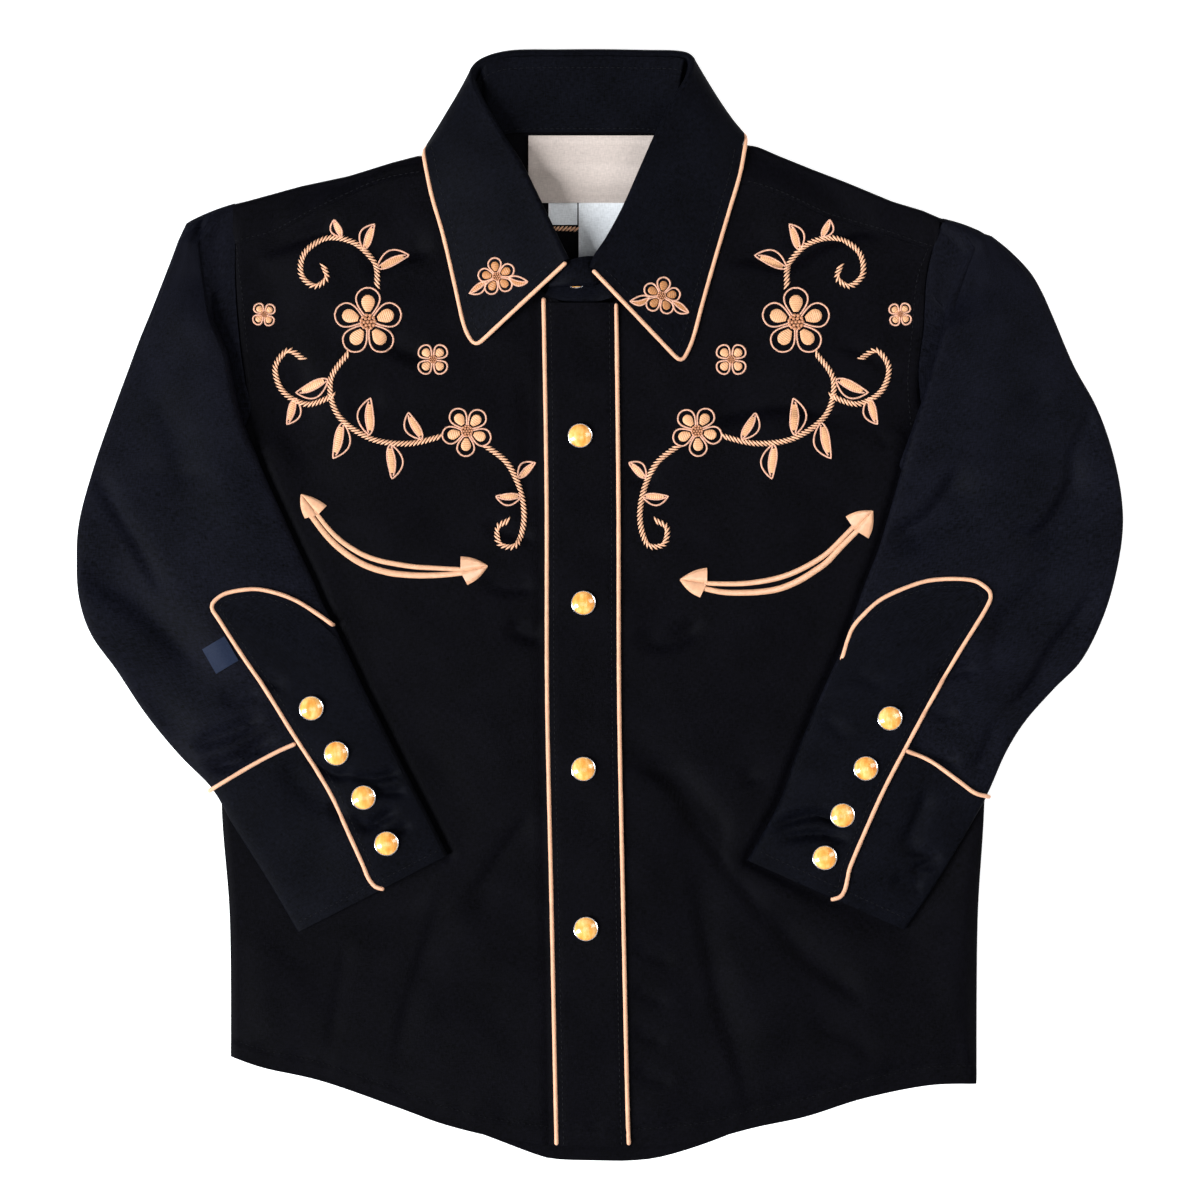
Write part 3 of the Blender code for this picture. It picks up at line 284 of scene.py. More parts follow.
# y, front right x, front left x, back right x, back left x
SIDES = (
    (-215.0, -162.6, 165.8, -162.6, 165.8), (-140.0, -163.0, 166.3, -163.0, 166.3),
    (-85.0, -166.8, 169.4, -166.8, 169.4), (0.0, -167.3, 171.0, -167.3, 171.0),
    (52.0, -167.8, 172.0, -167.8, 172.0), (60.0, -168.6, 172.6, -168.6, 172.6),
    (66.0, -166.4, 165.6, -167.5, 169.6), (74.0, -161.2, 154.2, -165.0, 164.0),
    (84.0, -155.6, 143.4, -161.8, 157.0), (100.0, -156.8, 140.8, -161.4, 152.2),
    (121.0, -159.4, 143.0, -161.6, 151.6), (144.0, -161.2, 144.2, -161.6, 151.6),
    (161.0, -161.6, 148.2, -161.6, 151.6), (180.0, -161.6, 151.6, -161.6, 151.6),
)
# x, y of the front hem, y of the back hem
HEM = (
    (-166.0, -197.5, -194.0), (-149.0, -203.7, -200.0), (-122.0, -209.9, -206.5),
    (-88.0, -221.8, -219.0), (-70.0, -228.4, -227.0), (-50.0, -233.6, -234.1),
    (-32.6, -236.5, -240.7), (-21.0, -237.8, -244.2), (0.0, -238.4, -245.0),
    (14.0, -238.8, -245.0), (27.3, -238.0, -243.3), (46.2, -235.8, -237.6),
    (68.6, -230.1, -229.0), (91.0, -225.3, -222.0), (116.0, -217.4, -214.0),
    (145.0, -211.6, -208.0), (168.0, -211.0, -207.0),
)


def ease(value):
    value = np.clip(value, 0.0, 1.0)
    return value * value * (3.0 - 2.0 * value)


def spline(rows, place):
    """Catmull-Rom value at real-numbered places along rows of equal length."""
    rows, place = np.asarray(rows, float), np.asarray(place, float)
    low = np.clip(np.floor(place).astype(int), 0, len(rows) - 2)
    t = (place - low)[..., None]
    a, b, c, d = (rows[np.clip(low + step, 0, len(rows) - 1)] for step in (-1, 0, 1, 2))
    return 0.5 * (2 * b + (c - a) * t + (2 * a - 5 * b + 4 * c - d) * t ** 2
                  + (3 * b - a - 3 * c + d) * t ** 3)


def filled(rows, steps=10):
    """A table filled in along a smooth curve, sorted by its first column."""
    out = spline(rows, np.arange((len(rows) - 1) * steps + 1) / steps)
    return out[np.argsort(out[:, 0])]


sides, hem = filled(SIDES), filled(HEM)


def side(y, column):
    return np.interp(y, sides[:, 0], sides[:, column])


def front_hem(x):
    return np.interp(x, hem[:, 0], hem[:, 1])


def back_hem(x):
    return np.interp(x, hem[:, 0], hem[:, 2])


def panel(bottom, top, right, left, rows, columns, rounds=10):
    """x and y of a grid between a hem line, a top line and two side lines."""
    up, across = np.meshgrid(np.linspace(0, 1, rows), np.linspace(0, 1, columns), indexing="ij")
    y = np.zeros_like(up)
    for _ in range(rounds):
        x = right(y) + across * (left(y) - right(y))
        y = bottom(x) + up * (top(x) - bottom(x))
    return x, y


def grid_faces(rows, columns, start=0):
    return [(start + r * columns + c, start + r * columns + c + 1,
             start + (r + 1) * columns + c + 1, start + (r + 1) * columns + c)
            for r in range(rows - 1) for c in range(columns - 1)]


def mesh_object(name, points, faces, cut, material):
    """A smooth mesh in millimetres, with each point's place in the flat piece as its UV."""
    mesh = bpy.data.meshes.new(name)
    mesh.from_pydata((np.asarray(points, float) * MM).tolist(), [], faces)
    layer = mesh.uv_layers.new(name=CUT)
    corner = np.zeros(len(mesh.loops), np.int32)
    mesh.loops.foreach_get("vertex_index", corner)
    layer.data.foreach_set("uv", np.asarray(cut, np.float32)[corner].ravel())
    mesh.materials.append(material)
    mesh.shade_smooth()
    return in_scene(name, mesh)


def work_in(obj):
    """Modifiers worked into the mesh."""
    deps = bpy.context.evaluated_depsgraph_get()
    done = bpy.data.meshes.new_from_object(obj.evaluated_get(deps))
    obj.modifiers.clear()
    obj.data = done


def finish_mesh(obj):
    """Modifiers worked in, and the mesh smooth but for its turned rims."""
    work_in(obj)
    obj.data.shade_smooth()
    obj.data.set_sharp_from_angle(angle=SHARP_TURN)


def hand_in(obj, slot, nodes=()):
    """The piece rides with the shirt and stands in for its solids, which are hidden; the slot is not used."""
    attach(obj, "root")
    if nodes:
        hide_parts(*nodes)


def thicken(obj, wall):
    """A wall of this thickness about the mesh's middle surface."""
    skin = obj.modifiers.new("wall", "SOLIDIFY")
    skin.thickness = wall * MM
    skin.offset = 0.0
    finish_mesh(obj)


def rework(obj, work):
    """One editing step on the object's mesh."""
    mesh = bmesh.new()
    mesh.from_mesh(obj.data)
    work(mesh)
    mesh.to_mesh(obj.data)
    mesh.free()


def weld(obj):
    rework(obj, lambda mesh: bmesh.ops.remove_doubles(mesh, verts=mesh.verts, dist=WELD * MM))


def flat_area(faces, cut):
    """Area of the flat piece in square metres, from the places in it."""
    ring = cut[np.asarray(faces)]
    after = np.roll(ring, -1, axis=1)
    twice = (ring[..., 0] * after[..., 1] - ring[..., 1] * after[..., 0]).sum(axis=1)
    return float(np.abs(twice).sum()) / 2.0 * MM * MM


def cloth_piece(name, points, faces, cut, wall, material, nodes, held="laid", rests=(), slot="black_cloth",
                welded=False):
    """A thin closed shell of cloth on a middle surface; the size and area it was cut to are worked out but
    not used.
    """
    cut = np.asarray(cut, float)
    obj = mesh_object(name, points, faces, cut, material)
    if welded:
        weld(obj)
    thicken(obj, wall)
    hand_in(obj, slot, nodes)
    size = (cut.max(axis=0) - cut.min(axis=0)) * MM
    area = min(flat_area(faces, cut), float(size[0] * size[1]))
    list(rests)
    return obj


def flat_piece(name, x, y, z, wall, material, nodes, **extra):
    """A piece that lies flat, given as three grids of the same shape."""
    points = np.stack([x, y, z], axis=-1).reshape(-1, 3)
    return cloth_piece(name, points, grid_faces(*x.shape), points[:, :2], wall, material, nodes, **extra)


x, y = panel(back_hem, lambda x: YOKE_SEAM_Y, lambda y: side(y, 3), lambda y: side(y, 4), 70, 60)
z = BACK_Z - 0.28 + 0.25 * ease((BACK_HEM_TURN - (y - back_hem(x))) / 2.0)
flat_piece("cloth_back", x, y, z, WALL, body_poplin, ["back_body"])

# ------------------------------------------------------------------ fronts
# Two fronts of poplin lie on the back, joined to it by the side seams, and are hemmed along the
# curved tail. They are slightly lofted, with soft creases from folding and from the underarm.
FRONT_Z = 2.2
LOFT = 3.6
# x, y of the yoke seam and then the neck seam
FRONT_TOP = (
    (-160.5, 160.3), (-144.5, 164.3), (-129.8, 172.0), (-114.1, 179.5), (-97.2, 186.7), (-79.2, 190.2),
    (-66.0, 190.4), (-58.0, 189.6), (-55.2, 184.5), (-49.2, 171.0), (-41.8, 156.3), (-31.6, 143.2),
    (-20.0, 134.9), (-10.0, 132.4), (2.0, 132.4), (12.4, 137.7), (21.2, 147.0), (28.6, 158.6),
    (34.4, 172.4), (38.2, 186.0), (41.5, 188.6), (61.6, 186.7), (72.8, 183.9), (84.0, 179.5),
    (98.6, 172.7), (110.0, 169.4), (124.5, 165.0), (140.2, 159.7), (151.0, 156.5),
)
# Sleeve outlines, needed here for where the fronts lie flat under them:
# outer x, outer y, inner x, inner y, inset of the underarm seam
RIGHT_ARM = (
    (-186.1, 160.6, -176.0, 159.0, 0.0), (-189.8, 150.6, -174.4, 149.0, 0.0),
    (-193.6, 140.8, -172.4, 138.5, 0.0), (-198.4, 128.6, -169.7, 126.0, 0.0),
    (-203.3, 116.6, -163.7, 111.3, 0.0), (-209.0, 101.2, -160.8, 97.5, 0.0),
    (-214.7, 85.8, -157.2, 82.0, 0.0), (-223.1, 61.6, -148.7, 60.3, 20.0),
    (-229.7, 37.4, -139.0, 38.7, 33.0), (-230.9, 18.9, -132.0, 23.3, 30.0),
    (-229.7, 2.2, -126.7, 12.3, 26.0), (-224.4, -13.2, -121.9, 1.3, 22.0),
    (-213.4, -28.6, -115.3, -11.9, 19.0), (-200.2, -48.4, -109.1, -25.1, 16.0),
    (-185.7, -66.0, -104.3, -35.6, 14.0), (-170.7, -81.0, -100.3, -43.6, 13.0),
    (-161.5, -96.8, -92.0, -60.3, 13.0), (-151.8, -112.2, -83.6, -77.0, 13.0),
    (-142.1, -128.0, -75.2, -93.3, 13.0), (-132.9, -143.9, -66.9, -110.0, 13.0),
)
LEFT_ARM = (
    (172.9, 162.6, 164.0, 156.6, 0.0), (181.0, 156.0, 159.5, 146.4, 0.0),
    (189.6, 147.0, 155.3, 135.3, 0.0), (195.0, 138.0, 151.8, 125.0, 0.0),
    (199.8, 127.2, 148.7, 114.4, 0.0), (209.0, 105.6, 143.0, 94.6, 0.0),
    (218.7, 88.0, 137.3, 77.5, 10.0), (225.3, 70.4, 132.4, 59.2, 30.0),
    (229.7, 50.6, 127.2, 40.9, 44.0), (230.6, 33.0, 122.3, 24.6, 40.0),
    (227.5, 13.2, 117.0, 11.0, 34.0), (221.8, -5.7, 111.3, -4.8, 28.0),
    (212.5, -24.2, 106.9, -18.0, 22.0), (200.2, -37.0, 102.9, -26.5, 18.0),
    (187.4, -51.5, 99.6, -33.6, 15.0), (178.6, -65.5, 97.4, -38.6, 13.0),
    (170.3, -84.0, 95.5, -43.1, 13.0), (159.3, -103.4, 86.7, -64.7, 13.0),
    (147.4, -123.2, 78.3, -87.8, 13.0), (134.2, -143.0, 64.7, -112.2, 13.0),
)
# Creases of the fronts: height, width on the left of the run, width on its right, the run
FRONT_CREASES = (
    (-3.0, 9.0, 2.3, ((8, -68), (20, -71), (32, -79), (41, -94), (51, -108), (63, -124), (74, -141))),
    (-1.4, 8.0, 2.4, ((72, -134), (84, -150), (98, -162), (118, -176))),
    (-0.9, 9.0, 2.4, ((38, -108), (43, -128), (46, -146), (52, -176), (61, -203), (67, -228))),
    (-0.7, 6.0, 2.6, ((89, -185), (110, -191), (122, -203))),
    (-0.7, 3.4, 2.2, ((13, -151), (22, -154), (33, -159))),
    (-0.6, 3.4, 2.2, ((13, -170), (21, -172), (30, -177))),
    (-0.6, 3.4, 2.2, ((14, -188), (21, -190), (29, -194))),
    (-0.6, 3.4, 2.2, ((14, -205), (22, -208), (32, -212))),
    (-1.4, 5.0, 2.4, ((60, -77), (72, -77), (84, -80))),
    (-0.8, 8.0, 3.2, ((-27, -88), (-41, -107), (-52, -124), (-62, -136))),
    (-0.45, 7.0, 2.4, ((-66, -122), (-74, -142), (-81, -164), (-87, -185), (-90, -208))),
    (-0.3, 4.0, 2.0, ((-109, -142), (-112, -150), (-115, -168), (-120, -200))),
    (0.4, 5.0, 8.0, ((-34, -116), (-52, -134), (-68, -150))),
    (-1.3, 5.0, 3.0, ((14, -12), (26, -17), (38, -14), (44, -5))),
    (-1.2, 5.0, 3.0, ((-42, -9), (-34, -13), (-25, -16))),
    (-1.0, 7.0, 3.6, ((-33, 104), (-31, 74), (-33, 44), (-29, 30))),
    (-1.1, 4.0, 2.4, ((-52, 35), (-40, 31), (-27, 28))),
    (-1.0, 4.0, 2.4, ((-54, 10), (-40, 7), (-27, 8))),
    (-1.5, 5.0, 2.4, ((-149, 153), (-144, 157), (-128, 162), (-112, 166))),
    (-1.6, 9.0, 3.6, ((-104, 147), (-96, 151), (-85, 155), (-72, 156))),
    (-1.4, 6.0, 3.0, ((-97, 117), (-85, 111), (-76, 108))),
    (-1.2, 8.0, 3.6, ((-140, 110), (-136, 96), (-136, 72), (-128, 64))),
    (-0.5, 5.0, 3.0, ((-113, 87), (-103, 88), (-94, 87))),
    (-1.0, 18.0, 6.0, ((-151, 152), (-149, 125), (-144, 95), (-134, 68), (-122, 45))),
    (-2.4, 9.0, 3.0, ((54, 152), (68, 152.5), (82, 151), (97, 159), (113, 165), (127, 162))),
    (-1.1, 4.0, 2.0, ((102, 116), (118, 109.5), (136, 96))),
    (-2.3, 4.0, 2.4, ((120, 72), (128, 72.5), (138, 74))),
    (-1.7, 10.0, 4.0, ((40, 80), (59, 85), (79, 88), (97, 85), (109, 80))),
    (-1.0, 4.0, 2.4, ((9, 58), (18, 55), (26, 56))),
    (-1.0, 4.0, 2.4, ((104, 38), (112, 36), (122, 34))),
)


def line_distance(x, y, line):
    """Distance to a run of points, how far along it the nearest place is, and on which side."""
    best, share, hand = np.full(x.shape, 1e9), np.zeros(x.shape), np.ones(x.shape)
    for i, (a, b) in enumerate(zip(line, line[1:])):
        dx, dy = b[0] - a[0], b[1] - a[1]
        part = np.clip(((x - a[0]) * dx + (y - a[1]) * dy) / (dx * dx + dy * dy + 1e-12), 0.0, 1.0)
        px, py = x - a[0] - part * dx, y - a[1] - part * dy
        away = np.hypot(px, py)
        closer = away < best
        best = np.where(closer, away, best)
        share = np.where(closer, (i + part) / (len(line) - 1), share)
        hand = np.where(closer, np.where(dx * py - dy * px > 0.0, 1.0, -1.0), hand)
    return best, share, hand


def within(x, y, ring):
    """True where a point lies inside a closed run of points."""
    hit = np.zeros(x.shape, bool)
    for a, b in zip(ring, ring[1:] + ring[:1]):
        if a[1] != b[1]:
            crosses = (a[1] > y) != (b[1] > y)
            hit ^= crosses & (x < a[0] + (y - a[1]) * (b[0] - a[0]) / (b[1] - a[1]))
    return hit


def travelled(run):
    """Length along a run up to each of its points."""
    return np.concatenate([[0.0], np.cumsum(np.linalg.norm(np.diff(run, axis=0), axis=1))])


def picked(run, want):
    """The places on a run at these lengths along it."""
    return np.stack([np.interp(want, travelled(run), column) for column in run.T], axis=1)


def spaced(run, count):
    return picked(run, np.linspace(0.0, travelled(run)[-1], count))


def smooth_run(points, count):
    """The same run of points at count places of equal spacing, on a smooth curve."""
    return spaced(spline(points, np.linspace(0.0, len(points) - 1, 241)), count)


CREASE_DEPTH = 1.7
BANK = 1.9               # rise of the front beside a sleeve's inner fold


def smoothed(creases):
    return [(*sizes, smooth_run(line, 4 * len(line)).tolist()) for *sizes, line in creases]


def creased(x, y, creases):
    """Sum of soft ridges and troughs, each steeper on one side than the other."""
    height = np.zeros(x.shape)
    for rise, left_width, right_width, run in creases:
        away, share, hand = line_distance(x, y, run)
        width = np.where(hand > 0.0, left_width, right_width)
        ends = ease(share * 3.4 + 0.06) * ease((1.0 - share) * 3.4 + 0.06)
        height += CREASE_DEPTH * rise * ends * np.exp(-(away / width) ** 2)
    return height


def rumple(x, y, depth=0.16):
    """The slight unevenness of cloth that has been washed and folded."""
    height = np.zeros(x.shape)
    for turn, pitch, phase, share in ((0.3, 47.0, 0.4, 1.0), (1.25, 33.0, 2.1, 0.8), (2.2, 23.0, 4.0, 0.5),
                                      (2.75, 61.0, 1.1, 1.1), (0.85, 17.0, 5.2, 0.3)):
        along = x * math.cos(turn) + y * math.sin(turn)
        across = y * math.cos(turn) - x * math.sin(turn)
        height += share * np.sin(2 * math.pi * along / pitch + phase
                                 + 1.6 * np.sin(2 * math.pi * across / (2.7 * pitch) + 2 * phase))
    return depth * height


ARM_RINGS = [[row[0:2] for row in arm] + [row[2:4] for row in reversed(arm)] for arm in (RIGHT_ARM, LEFT_ARM)]
front_top = filled(FRONT_TOP, 8)
front_creases = smoothed(FRONT_CREASES)


def top_seam(x):
    return np.interp(x, front_top[:, 0], front_top[:, 1])


def front_height(x, y):
    """Middle of the fronts' cloth: flat at the edges and under the sleeves, lofted between."""
    x, y = np.broadcast_arrays(np.asarray(x, float), np.asarray(y, float))
    near, reach = np.full(x.shape, 1e9), np.ones(x.shape)
    for ring, outer_reach in zip(ARM_RINGS, (46.0, 12.0)):
        away, share, _ = line_distance(x, y, ring + ring[:1])
        away = np.where(within(x, y, ring), 0.0, away)
        inner = ease((share - 0.5) * len(ring) / 0.7 + 1.0)
        reach = np.where(away < near, outer_reach + (3.4 - outer_reach) * inner, reach)
        near = np.minimum(near, away)
    clear = np.maximum(0.0, near - 6.0)
    right_edge, left_edge, low_edge = x - side(y, 1), side(y, 2) - x, y - front_hem(x)
    edge = np.minimum(np.minimum(right_edge, left_edge), low_edge)
    at_chest = ease((y - 66.0) / 14.0)
    fall = np.minimum(np.minimum(right_edge / (20.0 + 14.0 * at_chest), left_edge / (6.0 + 28.0 * at_chest)),
                      low_edge / 20.0)
    height = BANK * ease((near - 0.3) / reach) * ease(fall)
    height = height + (LOFT - BANK) * ease(clear / 42.0) * ease(0.45 * fall)
    height = height + creased(x, y, front_creases) * ease(clear / 14.0) * ease(edge / 12.0)
    height = height + rumple(x, y) * ease(clear / 10.0) * ease(edge / 10.0)
    settled = 0.5 * np.exp(np.minimum(height, 0.5) / 0.5 - 1.0)
    return FRONT_Z + np.where(height > 0.5, height, settled)


# Front placket edges:  y, right edge x, left edge x
PLACKET = (
    (133.2, -24.8, 7.2), (112.0, -24.4, 7.4), (46.0, -23.4, 8.1), (-42.0, -23.2, 8.4),
    (-130.0, -21.3, 10.1), (-218.0, -19.5, 12.0), (-238.0, -19.1, 12.7),
)
placket_edges = filled(PLACKET)


def placket_x(y, column):
    return np.interp(y, placket_edges[:, 0], placket_edges[:, column])


HEM_TURN = 8.0           # depth of the hem's turning


def front_cloth(x, y):
    """Height with the hem's extra plies and the roll of the side seams added."""
    z = front_height(x, y)
    up = y - front_hem(x)
    ripple = 0.16 * np.sin(x / 1.9 + 1.3 * np.sin(x / 9.0)) * np.exp(-((up - HEM_TURN) / 2.2) ** 2)
    z = z + 0.45 * ease((HEM_TURN + 0.5 - up) / 1.2) - 0.22 * np.exp(-((up - HEM_TURN) / 0.9) ** 2) + ripple
    gap = np.minimum(x - side(y, 1), side(y, 2) - x)
    dip = np.exp(-((x - placket_x(y, 1) + 2.8) / 1.9) ** 2)
    return z - 1.15 * (1.0 - ease(gap / 1.8)) - 0.8 * dip


fronts = []
for name, edges, node in (
        ("cloth_front_right", (lambda y: side(y, 1), lambda y: placket_x(y, 2) - 6.0), "front_right"),
        ("cloth_front_left", (lambda y: placket_x(y, 2) - 5.4, lambda y: side(y, 2)), "front_left")):
    x, y = panel(front_hem, lambda x: top_seam(x) - 0.3, *edges, 230, 98)
    fronts.append(flat_piece(name, x, y, front_cloth(x, y), WALL, body_poplin, [node], rests=["cloth_back"]))

# ------------------------------------------------------------------ yoke
# The back yoke is one piece that turns over both shoulders and is lapped on to the fronts in the
# two shoulder seams, with the collar stand's seam round its neck edge.
FOLD_R = 1.5
# x, y of the outermost line of the turn
SHOULDER = (
    (-161.0, 177.2), (-154.4, 178.9), (-132.0, 185.1), (-110.9, 189.6), (-91.7, 195.6), (-80.0, 198.6),
    (-76.0, 198.2), (-66.0, 197.6), (-57.0, 197.2), (41.0, 201.6), (50.0, 202.8), (60.0, 203.6),
    (66.0, 203.2), (70.0, 202.4), (77.9, 198.9), (93.0, 192.8), (108.2, 187.0), (128.9, 178.4),
    (142.0, 174.5), (151.0, 170.6),
)
# x, y of the back neck edge
NECK_BACK = (
    (-57.0, 196.0), (-52.0, 199.0), (-47.0, 203.8), (-39.0, 208.2), (-20.0, 209.4), (18.0, 209.4),
    (28.0, 208.4), (34.0, 205.4), (41.0, 200.0),
)
NECK_SIDES = (-57.0, 41.0)
shoulder, neck_back = np.array(SHOULDER), np.array(NECK_BACK)


def yoke_back_height(x, y):
    lift = ease((y - 184.5) / 10.0) * ease((x + 58.0) / 6.0) * ease((42.0 - x) / 6.0)
    return BACK_Z - 0.2 + 2.8 * lift


def yoke_turn(x):
    return np.interp(x, shoulder[:, 0], shoulder[:, 1]) - 0.9 - FOLD_R


yoke_points, yoke_faces, yoke_cut = [], [], []


def add_yoke_grid(x, y, z, cut_y):
    start = sum(len(part) for part in yoke_points)
    yoke_points.append(np.stack([x, y, z], axis=-1).reshape(-1, 3))
    yoke_cut.append(np.stack([x, cut_y], axis=-1).reshape(-1, 2))
    yoke_faces.extend(grid_faces(*x.shape, start))


yoke_x = {"right": np.linspace(-161.6, NECK_SIDES[0], 46), "neck": np.linspace(*NECK_SIDES, 44),
          "left": np.linspace(NECK_SIDES[1], 151.6, 48)}
for part, line in yoke_x.items():
    top = np.interp(line, neck_back[:, 0], neck_back[:, 1]) if part == "neck" else yoke_turn(line)
    if part == "neck":
        top[0], top[-1] = yoke_turn(line[0]), yoke_turn(line[-1])
    up = np.linspace(0.0, 1.0, 40)[:, None]
    y = YOKE_SEAM_Y + 0.4 + up * (top - YOKE_SEAM_Y - 0.4)
    x = np.broadcast_to(line, y.shape)
    add_yoke_grid(x, y, yoke_back_height(x, y), y)
    if part == "neck":
        continue
    turn = np.linspace(0.0, math.pi, 11)[:, None]
    y = top + FOLD_R * np.sin(turn)
    base = yoke_back_height(line, top)
    add_yoke_grid(np.broadcast_to(line, y.shape), y, base + (FOLD_R + 0.1) * (1 - np.cos(turn)),
                  top + FOLD_R * turn)
    out = np.linspace(0.0, 1.0, 14)[:, None]
    seam = top_seam(line) - 1.2
    low = front_cloth(line, seam) + 0.62
    y = top + out * (seam - top)
    x = np.clip(np.broadcast_to(line, y.shape), side(y, 1), side(y, 2))
    z = base + 2 * FOLD_R + 0.2 + ease(out) * (low - base - 2 * FOLD_R - 0.2)
    add_yoke_grid(x, y, z + 0.5 * rumple(x, y) * np.sin(math.pi * out),
                  top + FOLD_R * math.pi + out * (top - seam))
yoke = cloth_piece("cloth_yoke", np.concatenate(yoke_points), yoke_faces, np.concatenate(yoke_cut), WALL,
                   body_poplin, ["yoke"], rests=["cloth_front_right", "cloth_front_left"], welded=True)

# ------------------------------------------------------------------ topstitching
# Every seam is sewn down with black polyester thread, about ten stitches to the inch. Each stitch
# is a short bead of thread, half sunk into the cloth.
STITCH_PITCH = 2.5
STITCH_LENGTH = 1.75
STITCH_WIDTH = 0.42


def trees_of(*objects):
    deps = bpy.context.evaluated_depsgraph_get()
    deps.update()
    return [BVHTree.FromObject(obj, deps) for obj in objects]


def top_of(trees, x, y):
    """Highest point of these pieces at a place, in millimetres."""
    best = 0.0
    for tree in trees:
        where = tree.ray_cast(Vector((x * MM, y * MM, 0.2)), Vector((0.0, 0.0, -1.0)))[0]
        if where is not None:
            best = max(best, where.z / MM)
    return best


def laid(trees, run, lift, step=1.6, smooth=True):
    """A run of x and y as 3-D points at even steps, each held lift above the cloth below it."""
    run = np.asarray(run, float)[:, :2]
    total = float(np.linalg.norm(np.diff(run, axis=0), axis=1).sum())
    count = max(3, int(total / step))
    run = smooth_run(run, count) if smooth else spaced(run, count)
    return [(x, y, top_of(trees, x, y) + lift) for x, y in run]


def geometry_node(tree, kind, **inputs):
    made = tree.nodes.new(kind)
    for label, value in inputs.items():
        socket = made.inputs[label]
        if isinstance(value, bpy.types.NodeSocket):
            tree.links.new(value, socket)
        else:
            socket.default_value = value
    return made


def stitch_tree():
    """Beads of thread at even steps along the runs, each turned by a slant from its run."""
    tree = bpy.data.node_groups.new("stitches", "GeometryNodeTree")
    tree.interface.new_socket("Runs", in_out="INPUT", socket_type="NodeSocketGeometry")
    for label, value in (("Pitch", STITCH_PITCH), ("Length", STITCH_LENGTH), ("Width", STITCH_WIDTH),
                         ("Height", STITCH_WIDTH), ("Slant", 0.0)):
        socket = tree.interface.new_socket(label, in_out="INPUT", socket_type="NodeSocketFloat")
        socket.default_value = value
    tree.interface.new_socket("Thread", in_out="INPUT", socket_type="NodeSocketMaterial")
    tree.interface.new_socket("Stitches", in_out="OUTPUT", socket_type="NodeSocketGeometry")
    start, end = tree.nodes.new("NodeGroupInput"), tree.nodes.new("NodeGroupOutput")
    curve = geometry_node(tree, "GeometryNodeMeshToCurve", Mesh=start.outputs["Runs"])
    points = tree.nodes.new("GeometryNodeCurveToPoints")
    points.mode = "LENGTH"
    tree.links.new(curve.outputs[0], points.inputs["Curve"])
    tree.links.new(start.outputs["Pitch"], points.inputs["Length"])
    ahead = tree.nodes.new("FunctionNodeAlignRotationToVector")
    ahead.axis = "X"
    tree.links.new(points.outputs["Tangent"], ahead.inputs["Vector"])
    upright = tree.nodes.new("FunctionNodeAlignRotationToVector")
    upright.axis, upright.pivot_axis = "Z", "X"
    tree.links.new(ahead.outputs[0], upright.inputs["Rotation"])
    upright.inputs["Vector"].default_value = (0.0, 0.0, 1.0)
    bead = geometry_node(tree, "GeometryNodeMeshUVSphere", Segments=6, Rings=4, Radius=0.5)
    size = tree.nodes.new("ShaderNodeCombineXYZ")
    for axis, label in zip("XYZ", ("Length", "Width", "Height")):
        tree.links.new(start.outputs[label], size.inputs[axis])
    slant = tree.nodes.new("ShaderNodeCombineXYZ")
    tree.links.new(start.outputs["Slant"], slant.inputs["Z"])
    shaped = tree.nodes.new("GeometryNodeTransform")
    tree.links.new(bead.outputs["Mesh"], shaped.inputs["Geometry"])
    tree.links.new(size.outputs[0], shaped.inputs["Scale"])
    tree.links.new(slant.outputs[0], shaped.inputs["Rotation"])
    sewn = geometry_node(tree, "GeometryNodeInstanceOnPoints", Points=points.outputs["Points"],
                         Instance=shaped.outputs["Geometry"], Rotation=upright.outputs[0])
    real = geometry_node(tree, "GeometryNodeRealizeInstances", Geometry=sewn.outputs["Instances"])
    smooth = geometry_node(tree, "GeometryNodeSetShadeSmooth", Geometry=real.outputs["Geometry"])
    coloured = geometry_node(tree, "GeometryNodeSetMaterial", Geometry=smooth.outputs["Geometry"],
                             Material=start.outputs["Thread"])
    tree.links.new(coloured.outputs["Geometry"], end.inputs["Stitches"])
    return tree


stitches = stitch_tree()


def sew(name, runs, thread, slot="black_cloth", **sizes):
    """Stitches along runs of 3-D points, as one plain mesh that rides with the shirt."""
    points, edges = [], []
    for run in runs:
        edges += [(len(points) + i, len(points) + i + 1) for i in range(len(run) - 1)]
        points += run
    mesh = bpy.data.meshes.new(name)
    mesh.from_pydata([[c * MM for c in p] for p in points], edges, [])
    obj = in_scene(name, mesh)
    nodes = obj.modifiers.new("stitches", "NODES")
    nodes.node_group = stitches
    for item in stitches.interface.items_tree:
        if item.in_out == "INPUT" and item.name != "Runs":
            value = thread if item.name == "Thread" else sizes.get(item.name.lower(), item.default_value)
            if item.name in ("Pitch", "Length", "Width", "Height"):
                value = value * MM
            nodes[item.identifier] = value
    work_in(obj)
    hand_in(obj, slot)


def object_place(tree):
    return tree.nodes.new("ShaderNodeTexCoord").outputs["Object"]


def sewing_thread(name, colour):
    made, tree, shader = plain_material(name, colour, 0.55)
    shaded(tree, shader, colour, math_node(tree, "ADD", noise_node(tree, object_place(tree), 900.0), 0.5))
    set_inputs(shader, Specular_IOR_Level=0.08)
    return made


